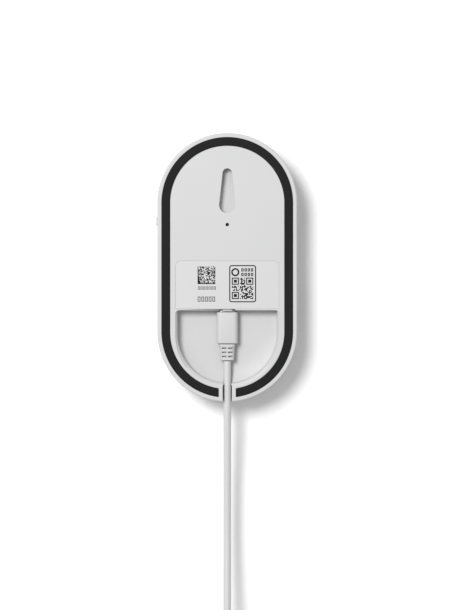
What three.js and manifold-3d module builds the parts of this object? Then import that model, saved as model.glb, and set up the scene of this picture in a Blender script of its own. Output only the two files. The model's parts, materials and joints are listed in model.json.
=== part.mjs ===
// A slim indoor air quality monitor with its USB supply lead, as an assembly of its separate pieces.
// Units are millimetres. The monitor lies on its front face: Z = 0 is that face and +Z goes to the back,
// +Y goes to its top edge, X goes across it, and the origin is the middle of its outline.
import * as THREE from "three";
import { mergeVertices } from "three/addons/utils/BufferGeometryUtils.js";
import Module from "manifold-3d";

const wasm = await Module();
wasm.setup();

// ---- Driving dimensions ------------------------------------------------------------------------

// The housing: a stadium outline, a front cover and a rear cover.
const BODY_WIDTH = 70;
const BODY_LENGTH = 134.5;
const BODY_DEPTH = 21;
const WALL = 2;
const FRONT_WALL = 2;
const PANEL = 1.8;
const FRONT_EDGE = 6;
const FRONT_INNER_EDGE = 2.5;
const BACK_EDGE = 0.7;
const PARTING = 11.5;
const SEAM = 0.3;
const LIP_HEIGHT = 1.5;
const LIP_THICKNESS = 0.9;
const LIP_CLEARANCE = 0.2;
const GAP = 0.3;
const ARC_STEPS = 20;
const RAMP_STEPS = 6;

// The rubber ring in its groove, and the bridge that carries the lead across it.
const GROOVE_INSET = 2.1;
const GROOVE_WIDTH = 4.35;
const GROOVE_DEPTH = 1.6;
const GROOVE_FLOOR = 1.5;
const RING_CLEARANCE = 0.15;
const RING_PROUD = 0.25;
const BRIDGE_WIDTH = 8.55;

// The keyhole slot that hangs the monitor on a screw, and the reset pinhole below it.
const KEYHOLE_FROM_TOP = 20.05;
const KEYHOLE_PITCH = 16;
const KEYHOLE_SMALL_RADIUS = 2.3;
const KEYHOLE_LARGE_RADIUS = 4.05;
const KEYHOLE_HEAD_RADIUS = 4.6;
const KEYHOLE_LIP = 1.6;
const KEYHOLE_DEPTH = 4.6;
const POCKET_WALL = 1.5;
const PINHOLE_BELOW_KEYHOLE = 9.8;
const PINHOLE_RADIUS = 0.85;

// The plug recess in the lower back.
const RECESS_INSET = 9;
const RECESS_BOTTOM_INSET = 6.95;
const RECESS_LENGTH = 38.85;
const RECESS_DEPTH = 7.2;
const RECESS_CORNER = 2.1;
const RECESS_SCOOP = 1;
const RECESS_SCOOP_RISE = 1.2;
const RECESS_RIM_WIDTH = 1;
const RECESS_RIM_SHIFT = 1.15;
const RECESS_RIM_DROP = 1.2;
const RECESS_RAMP_START = 16;
const RECESS_RAMP_RISE = 2.2;
const NOTCH_HALF = 3.9;
const NOTCH_DEPTH = 0.4;
const TAB_HALF = 2.45;
const TAB_REACH = 0.35;
const TAB_ROOT = 0.2;
const TAB_THICKNESS = 0.8;

// The label.
const LABEL_HEIGHT = 24.6;
const LABEL_FOOT = 0.8;
const LABEL_MARGIN = 0.25;
const LABEL_THICKNESS = 0.1;
const LABEL_CORNER = 2.5;
const LABEL_LIFT = 0.02;
const LABEL_POCKET = 0.22;
const LABEL_POCKET_MARGIN = 0.15;

// Air slots in the side walls.
const SLOT_WIDTH = 1.2;
const SLOT_PITCH = 2.4;
const SLOT_LOW_Z = 4.8;
const SLOT_HIGH_Z = 9.8;
const UPPER_SLOTS = 7;
const LOWER_SLOTS = 8;
const SCREEN_THICKNESS = 0.3;
const SCREEN_MARGIN = 0.6;

// The side button and its switch.
const BUTTON_Y = 23.4;
const BUTTON_Z = 8.2;
const BUTTON_LENGTH = 4.4;
const BUTTON_HEIGHT = 3;
const BUTTON_PROUD = 0.9;
const BUTTON_TRAVEL = 0.5;
const BUTTON_CLEARANCE = 0.2;
const FLANGE_BORDER = 1.1;
const FLANGE_THICKNESS = 0.8;
const STEM_RADIUS = 1;
const STEM_LENGTH = 1.4;

// Case screws, under the rubber ring.
const CASE_SCREW_ANGLE = 45;
const POST_RADIUS = 2.3;
const SCREW_RADIUS = 1;
const SCREW_HOLE_RADIUS = 1.25;
const SCREW_HEAD_RADIUS = 1.8;
const SCREW_HEAD_HEIGHT = 1.3;
const SCREW_BOSS_RADIUS = 2.9;
const SCREW_LENGTH = 8;

// The main board and what it carries.
const BOARD_INSET = 7.2;
const BOARD_THICKNESS = 1.2;
const BOARD_SCREW_INSET = 3.2;
const BOARD_SCREW_LENGTH = 4;
const SOCKET_WIDTH = 8.94;
const SOCKET_HEIGHT = 3.2;
const SOCKET_LENGTH = 7.35;
const SOCKET_WALL = 0.2;
const SOCKET_SETBACK = 0.25;
const TONGUE_WIDTH = 6.6;
const TONGUE_THICKNESS = 0.7;
const SHIELD_HEADROOM = 1.1;

// The gas sensor board.
const SENSOR_BOARD_INSET = 7.7;
const SENSOR_BOARD_Z = 9.4;
const SENSOR_BOARD_THICKNESS = 1;
const SENSOR_BOARD_TOP = 9.45;
const SENSOR_POST_RADIUS = 2.4;
const WINDOW_LENGTH = 16;
const WINDOW_WIDTH = 1.8;
const WINDOW_FROM_BOTTOM = 22;
const LED_COUNT = 3;
const LED_PITCH = 5;

// The fine dust sensor with its fan.
const DUST_WIDTH = 38;
const DUST_LENGTH = 35;
const DUST_HEIGHT = 11.2;
const DUST_WALL = 1.2;
const DUST_LID = 1;
const DUCT_WIDTH = 6;
const DUCT_HEIGHT = 6;
const DUCT_WALL = 1;
const FAN_RADIUS = 9.4;
const FAN_BLADES = 9;
const FAN_SHAFT_RADIUS = 0.75;
const FAN_SHAFT_CLEARANCE = 0.08;

// The supply lead.
const CORD_DIAMETER = 3.8;
const CORD_SIDES = 8;
const CHANNEL_CLEARANCE = 0.25;
const PLUG_WIDTH = 10.7;
const PLUG_THICKNESS = 5.6;
const PLUG_LENGTH = 15.8;
const PLUG_STANDOFF = 0.9;
const PLUG_FLOOR_CLEARANCE = 0.4;
const PLUG_SHELL_WIDTH = 8.2;
const PLUG_SHELL_HEIGHT = 2.5;
const PLUG_SHELL_LENGTH = 6.6;
const RELIEF_WIDTH = 7.6;
const RELIEF_THICKNESS = 5;
const RELIEF_LENGTH = 8.1;
const RELIEF_TAPER = 0.92;
const RELIEF_ROWS = 3;
const RELIEF_PITCH = 2.07;
const COIL_RADIUS = 20;
const COIL_COLUMNS = 3;
const COIL_LAYERS = 4;
const TURN_GAP = 0.05;
const COIL_LIFT = 0.8;
const COIL_CENTRE_Y = -210;
const TIE_WIDTH = 9;
const TIE_THICKNESS = 0.5;
const TAIL_LENGTH = 30;
const TAIL_GAP = 0.2;

// The lead's own line where it isn't coiled, from the strain relief to the top of the coil.
const LEAD_POINTS = [
  [0, -46.95, 17],
  [0, -52, 17],
  [0, -58, 17],
  [0, -64, 17],
  [0, -71, 16.9],
  [0, -80, 16.4],
  [0, -90, 15.5],
  [0, -100, 14.7],
  [0, -110, 14.1],
  [0, -120, 13.8],
  [0, -130, 13.8],
  [0, -140, 14.2],
  [0, -150, 14.9],
  [0, -160, 15.8],
  [0, -170, 16.7],
  [0, -180, 17.5],
  [0, -190, 18],
  [0, -200, 18.15],
  [0, -210, 18.1],
];

// ---- Levels and places worked out from them ------------------------------------------------------

const HALF_WIDTH = BODY_WIDTH / 2;
const ARC_Y = BODY_LENGTH / 2 - HALF_WIDTH;
const TOP_EDGE = BODY_LENGTH / 2;
const INNER_X = HALF_WIDTH - WALL;
const PANEL_INNER = BODY_DEPTH - PANEL;
const GROOVE_Z = BODY_DEPTH - GROOVE_DEPTH;
const GROOVE_UNDERSIDE = GROOVE_Z - GROOVE_FLOOR;
const GROOVE_INNER = GROOVE_INSET + GROOVE_WIDTH;
const RECESS_TOP = RECESS_LENGTH + RECESS_BOTTOM_INSET - TOP_EDGE;
const RECESS_ARC_Y = RECESS_BOTTOM_INSET - TOP_EDGE + HALF_WIDTH - RECESS_INSET;
const RECESS_FLOOR = BODY_DEPTH - RECESS_DEPTH;
const TUB_BOTTOM = RECESS_FLOOR - POCKET_WALL;
const PLUG_Z = RECESS_FLOOR + PLUG_THICKNESS / 2 + PLUG_FLOOR_CLEARANCE;
const BOARD_TOP = PLUG_Z - SOCKET_HEIGHT / 2 - 0.2;
const BOARD_Z = BOARD_TOP - BOARD_THICKNESS;
const BOARD_EDGE = RECESS_TOP + POCKET_WALL + GAP;
const KEYHOLE_HIGH_Y = TOP_EDGE - KEYHOLE_FROM_TOP;
const KEYHOLE_LOW_Y = KEYHOLE_HIGH_Y - KEYHOLE_PITCH;
const KEYHOLE_FLOOR = BODY_DEPTH - KEYHOLE_DEPTH;
const PINHOLE_Y = KEYHOLE_LOW_Y - PINHOLE_BELOW_KEYHOLE;
const CHANNEL_HALF = CORD_DIAMETER / 2 + CHANNEL_CLEARANCE;
const CHANNEL_FLOOR = PLUG_Z - CORD_DIAMETER / 2 - GAP;
const CHANNEL_BLOCK_HALF = CHANNEL_HALF + POCKET_WALL;
const CHANNEL_BLOCK_LOW = CHANNEL_FLOOR - POCKET_WALL;
const POST_RING = HALF_WIDTH - GROOVE_INSET - GROOVE_WIDTH / 2;
const POST_ANGLE = THREE.MathUtils.degToRad(CASE_SCREW_ANGLE);
const POST_X = POST_RING * Math.cos(POST_ANGLE);
const POST_Y = ARC_Y + POST_RING * Math.sin(POST_ANGLE);
const BOSS_BOTTOM = GROOVE_Z - 3.2;
const HEAD_SEAT = GROOVE_Z - SCREW_HEAD_HEIGHT - 0.25;
const DUST_TOP = POST_Y - POST_RADIUS - 1.4;
const DUST_LOW = DUST_TOP - DUST_LENGTH;
const DUST_Z = FRONT_WALL + GAP;
const INLET_Y = ARC_Y - 12.75;
const OUTLET_Y = ARC_Y - 3.75;
const UPPER_SLOT_Y = (INLET_Y + OUTLET_Y) / 2;
const LOWER_SLOT_Y = -ARC_Y + 11;
const PLUG_FRONT = RECESS_TOP - PLUG_STANDOFF;
const PLUG_BACK = PLUG_FRONT - PLUG_LENGTH;
const RELIEF_START = PLUG_BACK - GAP;
const COIL_SPACING = CORD_DIAMETER + TURN_GAP;
const COIL_HALF_WIDTH = ((COIL_COLUMNS - 1) * COIL_SPACING + CORD_DIAMETER) / 2;
const COIL_HEIGHT = (COIL_LAYERS - 1) * COIL_SPACING + CORD_DIAMETER - 0.15;
const COIL_CENTRE_X = COIL_RADIUS - COIL_SPACING;

// ---- Materials -----------------------------------------------------------------------------------

const material = (color, roughness, metalness = 0) =>
  new THREE.MeshStandardMaterial({ color, roughness, metalness });
const whitePlastic = material("#dcdcde", 0.5);
const leadPlastic = material("#e2e2e4", 0.45);
const blackRubber = material("#2f2f31", 0.8);
const labelPaper = material("#e2e2e2", 0.55);
const clearAcrylic = material("#e8eef0", 0.15);
const boardGreen = material("#2c5a3c", 0.55);
const blackPlastic = material("#242426", 0.55);
const greyPlastic = material("#7c8084", 0.6);
const foamGrey = material("#4c4c50", 0.95);
const meshGrey = material("#5a5a5e", 0.9);
const steel = material("#b8babd", 0.35, 1);
const ceramicWhite = material("#d8d8d0", 0.5);
const tieFabric = material("#ececec", 0.9);

// ---- Solids --------------------------------------------------------------------------------------

const X_AXIS = new THREE.Vector3(1, 0, 0);
const Y_AXIS = new THREE.Vector3(0, 1, 0);
const Z_AXIS = new THREE.Vector3(0, 0, 1);

// Turns a shape drawn in X and Y and extruded along Z, so that it is extruded along the named axis.
// Along X the shape's own X and Y become Y and Z, and along Y they become Z and X.
const TURNS = {
  x: new THREE.Matrix4().makeBasis(Y_AXIS, Z_AXIS, X_AXIS),
  y: new THREE.Matrix4().makeBasis(Z_AXIS, X_AXIS, Y_AXIS),
  z: new THREE.Matrix4(),
};

function solid(geometry) {
  geometry.deleteAttribute("normal");
  geometry.deleteAttribute("uv");
  const merged = mergeVertices(geometry, 1e-4);
  const vertProperties = new Float32Array(merged.attributes.position.array);
  const triVerts = new Uint32Array(merged.index.array);
  return new wasm.Manifold(new wasm.Mesh({ numProp: 3, vertProperties, triVerts }));
}

// An outline extruded straight along an axis.
function prism(axis, outline, from, to) {
  const settings = { depth: to - from, bevelEnabled: false };
  const geometry = new THREE.ExtrudeGeometry(new THREE.Shape(outline), settings);
  geometry.translate(0, 0, from);
  return solid(geometry.applyMatrix4(TURNS[axis]));
}

// The geometry of a convex outline extruded along an axis, with both of its ends rounded over.
function pillowGeometry(axis, outline, from, to, inset, rise, steps) {
  const geometry = new THREE.ExtrudeGeometry(new THREE.Shape(outline), {
    depth: to - from - 2 * rise,
    bevelEnabled: true,
    bevelThickness: rise,
    bevelSize: inset,
    bevelOffset: -inset,
    bevelSegments: steps,
  });
  geometry.translate(0, 0, from + rise);
  return geometry.applyMatrix4(TURNS[axis]);
}

const pillow = (...settings) => solid(pillowGeometry(...settings));

function box(x, y, z) {
  const geometry = new THREE.BoxGeometry(x[1] - x[0], y[1] - y[0], z[1] - z[0]);
  geometry.translate((x[0] + x[1]) / 2, (y[0] + y[1]) / 2, (z[0] + z[1]) / 2);
  return solid(geometry);
}

function joined(solids) {
  return solids.reduce((whole, piece) => whole.add(piece));
}

function without(base, tools) {
  return tools.reduce((left, tool) => left.subtract(tool), base);
}

// The span of a given size with its middle at a place.
const span = (middle, size) => [middle - size / 2, middle + size / 2];

// ---- Outlines ------------------------------------------------------------------------------------

function arc(x, y, radius, from, to, steps) {
  return Array.from({ length: steps + 1 }, (_, step) => {
    const angle = THREE.MathUtils.degToRad(from + ((to - from) * step) / steps);
    return new THREE.Vector2(x + radius * Math.cos(angle), y + radius * Math.sin(angle));
  });
}

function circle(x, y, radius, sides = 16) {
  return arc(x, y, radius, 0, 360, sides).slice(0, sides);
}

function roundedBox(x, y, radius, steps = 4) {
  return [
    ...arc(x[1] - radius, y[1] - radius, radius, 0, 90, steps),
    ...arc(x[0] + radius, y[1] - radius, radius, 90, 180, steps),
    ...arc(x[0] + radius, y[0] + radius, radius, 180, 270, steps),
    ...arc(x[1] - radius, y[0] + radius, radius, 270, 360, steps),
  ];
}

// The housing's outline, moved inwards.
function bodyOutline(inset) {
  const radius = HALF_WIDTH - inset;
  return [...arc(0, ARC_Y, radius, 0, 180, ARC_STEPS), ...arc(0, -ARC_Y, radius, 180, 360, ARC_STEPS)];
}

// The plug recess's outline, moved outwards: straight across its top, and round below.
function recessOutline(grow) {
  const radius = HALF_WIDTH - RECESS_INSET + grow;
  const corner = RECESS_CORNER + grow;
  const cornerY = RECESS_TOP - RECESS_CORNER;
  return [
    ...arc(radius - corner, cornerY, corner, 0, 90, 6),
    ...arc(corner - radius, cornerY, corner, 90, 180, 6),
    ...arc(0, RECESS_ARC_Y, radius, 180, 360, ARC_STEPS),
  ];
}

// A slot with round ends of two radii joined by tangents, both ends centred on X = 0.
function taperedSlot(lowY, lowRadius, highY, highRadius, steps) {
  const lean = THREE.MathUtils.radToDeg(Math.asin((lowRadius - highRadius) / (highY - lowY)));
  return [
    ...arc(0, lowY, lowRadius, 180 - lean, 360 + lean, steps),
    ...arc(0, highY, highRadius, lean, 180 - lean, steps),
  ];
}

const rod = (axis, a, b, radius, from, to, sides) => prism(axis, circle(a, b, radius, sides), from, to);

// ---- Groups of places ----------------------------------------------------------------------------

const CORNERS = [
  [1, 1],
  [-1, 1],
  [-1, -1],
  [1, -1],
];
const CASE_SCREWS = CORNERS.map(([sideX, sideY]) => [sideX * POST_X, sideY * POST_Y]);

const boardScrewRing = HALF_WIDTH - BOARD_INSET - BOARD_SCREW_INSET;
const BOARD_SCREWS = [
  [1, 55],
  [-1, 55],
].map(([side, degrees]) => {
  const angle = THREE.MathUtils.degToRad(degrees);
  return [side * boardScrewRing * Math.cos(angle), ARC_Y + boardScrewRing * Math.sin(angle)];
});
BOARD_SCREWS.push([-boardScrewRing, RECESS_TOP + 19.5], [boardScrewRing, RECESS_TOP + 19.5]);

const SENSOR_SCREW_X = HALF_WIDTH - SENSOR_BOARD_INSET - 5;
const SENSOR_SCREWS = [
  [-SENSOR_SCREW_X, -ARC_Y],
  [SENSOR_SCREW_X, -ARC_Y],
];

const WINDOW_Y = WINDOW_FROM_BOTTOM - TOP_EDGE;

// The air slots: which side wall they are in, the middle of their row and how many they are.
const SLOT_ROWS = [
  { name: "vent_screen_upper_right", side: 1, middle: UPPER_SLOT_Y, count: UPPER_SLOTS },
  { name: "vent_screen_lower_right", side: 1, middle: LOWER_SLOT_Y, count: LOWER_SLOTS },
  { name: "vent_screen_lower_left", side: -1, middle: LOWER_SLOT_Y, count: LOWER_SLOTS },
];

// ---- The assembly --------------------------------------------------------------------------------

const monitor = new THREE.Group();

function addPiece(name, shape, finish) {
  const { vertProperties, triVerts } = shape.getMesh();
  const geometry = new THREE.BufferGeometry();
  geometry.setAttribute("position", new THREE.BufferAttribute(vertProperties, 3));
  geometry.setIndex(new THREE.BufferAttribute(triVerts, 1));
  geometry.computeVertexNormals();
  const mesh = new THREE.Mesh(geometry, finish);
  mesh.name = name;
  monitor.add(mesh);
}

// ---- Housing -------------------------------------------------------------------------------------

// The button's section in Y and Z, moved outwards.
const buttonSection = (grow) => {
  const size = [BUTTON_LENGTH + 2 * grow, BUTTON_HEIGHT + 2 * grow];
  return roundedBox(span(BUTTON_Y, size[0]), span(BUTTON_Z, size[1]), size[1] / 2 - 0.05, 5);
};

const windowSection = (grow) => {
  const size = [WINDOW_LENGTH + 2 * grow, WINDOW_WIDTH + 2 * grow];
  return roundedBox(span(0, size[0]), span(WINDOW_Y, size[1]), size[1] / 2 - 0.05, 4);
};

function airSlots() {
  return SLOT_ROWS.flatMap(({ side, middle, count }) =>
    Array.from({ length: count }, (_, index) => {
      const y = middle + (index - (count - 1) / 2) * SLOT_PITCH;
      const x = [side * (INNER_X - 0.5), side * (HALF_WIDTH + 0.5)].sort((a, b) => a - b);
      return box(x, span(y, SLOT_WIDTH), [SLOT_LOW_Z, SLOT_HIGH_Z]);
    }),
  );
}

function frontCover() {
  const block = pillow("z", bodyOutline(0), 0, 3 * BODY_DEPTH, FRONT_EDGE, FRONT_EDGE, 5);
  const below = prism("z", bodyOutline(-1), -1, PARTING);
  const inner = [FRONT_WALL, 3 * BODY_DEPTH, FRONT_INNER_EDGE, FRONT_INNER_EDGE, 3];
  const cavity = pillow("z", bodyOutline(WALL), ...inner);
  const lipTop = PARTING + LIP_HEIGHT;
  const lip = prism("z", bodyOutline(WALL - LIP_THICKNESS), PARTING - 0.5, lipTop).subtract(
    prism("z", bodyOutline(WALL), PARTING - 1, lipTop + 1),
  );
  const postTop = BOSS_BOTTOM - GAP;
  const withinLip = prism("z", bodyOutline(WALL + GAP), PARTING - 1, postTop + 1);
  const posts = CASE_SCREWS.flatMap(([x, y]) => [
    rod("z", x, y, POST_RADIUS, FRONT_WALL - 0.5, PARTING).intersect(
      prism("z", bodyOutline(WALL / 2), 0, PARTING),
    ),
    rod("z", x, y, POST_RADIUS, PARTING - 0.5, postTop).intersect(withinLip),
  ]);
  const sensorPosts = SENSOR_SCREWS.map(([x, y]) =>
    rod("z", x, y, SENSOR_POST_RADIUS, FRONT_WALL - 0.5, SENSOR_BOARD_Z - GAP),
  );
  const shell = joined([block.intersect(below).subtract(cavity), lip, ...posts, ...sensorPosts]);
  const screwHoles = [
    ...CASE_SCREWS.map(([x, y]) =>
      rod("z", x, y, SCREW_HOLE_RADIUS, HEAD_SEAT - SCREW_LENGTH - 1, BODY_DEPTH, 12),
    ),
    ...SENSOR_SCREWS.map(([x, y]) =>
      rod("z", x, y, SCREW_HOLE_RADIUS, SENSOR_BOARD_Z - BOARD_SCREW_LENGTH, BODY_DEPTH, 12),
    ),
  ];
  const buttonHole = prism("x", buttonSection(BUTTON_CLEARANCE), -HALF_WIDTH - 1, GAP - INNER_X);
  const window = prism("z", windowSection(GAP / 2), -1, FRONT_WALL + 1);
  const blockHalf = CHANNEL_BLOCK_HALF + GAP;
  const blockZ = [CHANNEL_BLOCK_LOW - GAP, BODY_DEPTH];
  const leadBlock = box([-blockHalf, blockHalf], [-TOP_EDGE - 1, -ARC_Y], blockZ);
  return without(shell, [...screwHoles, ...airSlots(), buttonHole, window, leadBlock]);
}

// The groove's or the ring's outline, as a closed band less the bridge over which the lead passes.
function groove(clearance, from, to) {
  const outer = prism("z", bodyOutline(GROOVE_INSET + clearance), from, to);
  const inner = prism("z", bodyOutline(GROOVE_INNER - clearance), from - 1, to + 1);
  const half = BRIDGE_WIDTH / 2 + clearance;
  const bridge = box([-half, half], [-TOP_EDGE - 1, 0], [from - 1, to + 1]);
  return without(outer, [inner, bridge]);
}

// The label's outline, or its pocket's, with two round corners at its top.
function labelOutline(grow) {
  const half = HALF_WIDTH - RECESS_INSET - LABEL_MARGIN + grow;
  const low = RECESS_TOP + LABEL_FOOT - grow;
  const cornerY = RECESS_TOP + LABEL_HEIGHT - LABEL_CORNER;
  const radius = LABEL_CORNER + grow;
  return [
    ...arc(half - radius, cornerY, radius, 0, 90, 6),
    ...arc(radius - half, cornerY, radius, 90, 180, 6),
    new THREE.Vector2(-half, low),
    new THREE.Vector2(half, low),
  ];
}

// The recess's sides and round lower end, moved inwards and with the lower end moved up.
function recessDish(inset, shift) {
  const radius = HALF_WIDTH - RECESS_INSET - inset;
  return [
    ...arc(0, 0, radius, 0, 180, ARC_STEPS),
    ...arc(0, RECESS_ARC_Y + shift, radius, 180, 360, ARC_STEPS),
  ];
}

// The recess: a gently sloping rim, an upright wall below it, and a scoop where the wall meets the floor.
function plugRecess() {
  const straight = prism("z", recessOutline(0), RECESS_FLOOR, BODY_DEPTH + 1);
  const wall = recessDish(RECESS_RIM_WIDTH, RECESS_RIM_SHIFT);
  const scoop = [RECESS_FLOOR, 3 * BODY_DEPTH, RECESS_SCOOP, RECESS_SCOOP_RISE, 5];
  // The floor climbs towards the round end, up to the level at which the lead leaves.
  const start = RECESS_ARC_Y - RECESS_RAMP_START;
  const end = RECESS_ARC_Y + RECESS_RIM_SHIFT - HALF_WIDTH + RECESS_INSET + RECESS_RIM_WIDTH;
  const ramp = [new THREE.Vector2(start, RECESS_FLOOR - 1)];
  for (let step = 0; step <= RAMP_STEPS; step += 1) {
    const way = step / RAMP_STEPS;
    ramp.push(new THREE.Vector2(start + (end - start) * way, RECESS_FLOOR + RECESS_RAMP_RISE * way ** 2));
  }
  ramp.push(new THREE.Vector2(end, RECESS_FLOOR - 1));
  const climb = prism("x", ramp, -HALF_WIDTH, HALF_WIDTH);
  const rim = wasm.Manifold.hull([
    prism("z", wall, BODY_DEPTH - RECESS_RIM_DROP, BODY_DEPTH),
    prism("z", recessDish(0, 0), BODY_DEPTH, BODY_DEPTH + 1),
  ]);
  return straight.intersect(pillow("z", wall, ...scoop).add(rim)).subtract(climb);
}

function keyholePocket() {
  const mouth = taperedSlot(KEYHOLE_LOW_Y, KEYHOLE_LARGE_RADIUS, KEYHOLE_HIGH_Y, KEYHOLE_SMALL_RADIUS, 12);
  const room = taperedSlot(KEYHOLE_LOW_Y, KEYHOLE_HEAD_RADIUS, KEYHOLE_HIGH_Y, KEYHOLE_HEAD_RADIUS, 10);
  return prism("z", mouth, KEYHOLE_FLOOR + 0.5, BODY_DEPTH + 1).add(
    prism("z", room, KEYHOLE_FLOOR, BODY_DEPTH - KEYHOLE_LIP),
  );
}

function portOpening() {
  const grow = GAP;
  const height = span(PLUG_Z, SOCKET_HEIGHT + 2 * grow);
  const width = span(0, SOCKET_WIDTH + 2 * grow);
  const radius = (height[1] - height[0]) / 2 - 0.1;
  return prism("y", roundedBox(height, width, radius, 5), RECESS_TOP - 1, RECESS_TOP + POCKET_WALL + 1);
}

// The room that the socket takes behind the port, which reaches into the panel where it has to.
function socketRoom() {
  const y = [RECESS_TOP + POCKET_WALL, RECESS_TOP + SOCKET_SETBACK + SOCKET_LENGTH + GAP];
  return box(span(0, SOCKET_WIDTH + 2 * GAP), y, [BOARD_TOP, PLUG_Z + SOCKET_HEIGHT / 2 + GAP]);
}

function rearCover() {
  const block = pillow("z", bodyOutline(0), -2 * BODY_DEPTH, BODY_DEPTH, BACK_EDGE, BACK_EDGE, 3);
  const above = prism("z", bodyOutline(-1), PARTING + SEAM, BODY_DEPTH + 1);
  const hollows = [
    prism("z", bodyOutline(WALL), PARTING - 1, GROOVE_UNDERSIDE),
    prism("z", bodyOutline(GROOVE_INNER + 1.5), PARTING - 1, PANEL_INNER),
    prism("z", bodyOutline(WALL - LIP_THICKNESS - LIP_CLEARANCE), PARTING - 1, PARTING + LIP_HEIGHT + GAP),
  ];
  const outside = prism("z", bodyOutline(WALL / 2), 0, BODY_DEPTH - PANEL / 2);
  const head = KEYHOLE_HEAD_RADIUS + POCKET_WALL;
  const pocket = taperedSlot(KEYHOLE_LOW_Y, head, KEYHOLE_HIGH_Y, head, 10);
  const channelTop = BODY_DEPTH - PANEL / 2;
  const additions = [
    prism("z", recessOutline(POCKET_WALL), TUB_BOTTOM, PANEL_INNER + 0.5),
    prism("z", pocket, KEYHOLE_FLOOR - POCKET_WALL, PANEL_INNER + 0.5),
    rod("z", 0, PINHOLE_Y, PINHOLE_RADIUS + 1.2, PANEL_INNER - 0.7, PANEL_INNER + 0.5),
    box([-CHANNEL_BLOCK_HALF, CHANNEL_BLOCK_HALF], [-TOP_EDGE, -ARC_Y], [CHANNEL_BLOCK_LOW, channelTop]),
    ...CASE_SCREWS.map(([x, y]) => rod("z", x, y, SCREW_BOSS_RADIUS, BOSS_BOTTOM, GROOVE_Z - 0.2)),
    ...BOARD_SCREWS.map(([x, y]) => rod("z", x, y, POST_RADIUS, BOARD_TOP + 0.1, PANEL_INNER + 0.5)),
  ];
  const shell = without(block.intersect(above), hollows);
  const whole = joined([shell, ...additions.map((piece) => piece.intersect(outside))]);
  const channelZ = [CHANNEL_FLOOR, BODY_DEPTH + 1];
  const channel = box([-CHANNEL_HALF, CHANNEL_HALF], [-TOP_EDGE - 1, RECESS_ARC_Y], channelZ);
  const notchY = [RECESS_TOP - 1, RECESS_TOP + NOTCH_DEPTH];
  const cuts = [
    groove(0, GROOVE_Z, BODY_DEPTH + 1),
    plugRecess(),
    keyholePocket(),
    portOpening(),
    socketRoom(),
    channel,
    rod("z", 0, PINHOLE_Y, PINHOLE_RADIUS, PANEL_INNER - 2, BODY_DEPTH + 1, 20),
    box([-NOTCH_HALF, NOTCH_HALF], notchY, [PLUG_Z, BODY_DEPTH + 1]),
    prism("z", labelOutline(LABEL_POCKET_MARGIN), BODY_DEPTH - LABEL_POCKET, BODY_DEPTH + 1),
    ...CASE_SCREWS.map(([x, y]) => rod("z", x, y, POST_RADIUS + GAP, 0, BOSS_BOTTOM)),
    ...CASE_SCREWS.map(([x, y]) => rod("z", x, y, SCREW_HOLE_RADIUS, BOSS_BOTTOM - 1, BODY_DEPTH, 12)),
    ...CASE_SCREWS.map(([x, y]) => rod("z", x, y, SCREW_HEAD_RADIUS + 0.3, HEAD_SEAT, BODY_DEPTH)),
    ...BOARD_SCREWS.map(([x, y]) =>
      rod("z", x, y, SCREW_HOLE_RADIUS, BOARD_TOP, BOARD_Z + BOARD_SCREW_LENGTH + 0.4, 12),
    ),
  ];
  // The small tab that stays in the middle of the notch above the port.
  const tabY = [RECESS_TOP - TAB_REACH, RECESS_TOP + NOTCH_DEPTH + TAB_ROOT];
  const tab = box([-TAB_HALF, TAB_HALF], tabY, [BODY_DEPTH - TAB_THICKNESS, BODY_DEPTH]);
  return without(whole, cuts).add(tab);
}

addPiece("front_cover", frontCover(), whitePlastic);
addPiece("rear_cover", rearCover(), whitePlastic);
addPiece("grip_ring", groove(RING_CLEARANCE, GROOVE_Z + 0.1, BODY_DEPTH + RING_PROUD), blackRubber);

const labelLow = BODY_DEPTH - LABEL_POCKET + LABEL_LIFT;
addPiece("label", prism("z", labelOutline(0), labelLow, labelLow + LABEL_THICKNESS), labelPaper);

// Dust screens behind the air slots.
SLOT_ROWS.forEach(({ name, side, middle, count }) => {
  const face = INNER_X - 0.15;
  const x = [side * face, side * (face - SCREEN_THICKNESS)].sort((a, b) => a - b);
  const length = (count - 1) * SLOT_PITCH + SLOT_WIDTH + 2 * SCREEN_MARGIN;
  const z = [SLOT_LOW_Z - SCREEN_MARGIN / 2, SLOT_HIGH_Z + SCREEN_MARGIN];
  addPiece(name, box(x, span(middle, length), z), meshGrey);
});

// ---- Screws --------------------------------------------------------------------------------------

// A pan-head screw with a cross recess. Its shank starts at the seat and runs along Z, up or down.
function screw(x, y, seat, length, direction) {
  const along = (near, far) => [seat - direction * near, seat - direction * far].sort((a, b) => a - b);
  const head = rod("z", x, y, SCREW_HEAD_RADIUS, ...along(0, SCREW_HEAD_HEIGHT), 16);
  const shank = rod("z", x, y, SCREW_RADIUS, ...along(0.2, -length), 12);
  const crossZ = along(SCREW_HEAD_HEIGHT - 0.6, SCREW_HEAD_HEIGHT + 1);
  const crosses = [
    box(span(x, 2.2), span(y, 0.5), crossZ),
    box(span(x, 0.5), span(y, 2.2), crossZ),
  ];
  return without(head.add(shank), crosses);
}

CASE_SCREWS.forEach(([x, y], index) => {
  addPiece(`case_screw_${index + 1}`, screw(x, y, HEAD_SEAT + 0.05, SCREW_LENGTH, -1), steel);
});
BOARD_SCREWS.forEach(([x, y], index) => {
  addPiece(`board_screw_${index + 1}`, screw(x, y, BOARD_Z - 0.05, BOARD_SCREW_LENGTH, 1), steel);
});
SENSOR_SCREWS.forEach(([x, y], index) => {
  const seat = SENSOR_BOARD_Z + SENSOR_BOARD_THICKNESS + 0.05;
  addPiece(`sensor_screw_${index + 1}`, screw(x, y, seat, BOARD_SCREW_LENGTH, -1), steel);
});

// ---- Main board ----------------------------------------------------------------------------------

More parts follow.
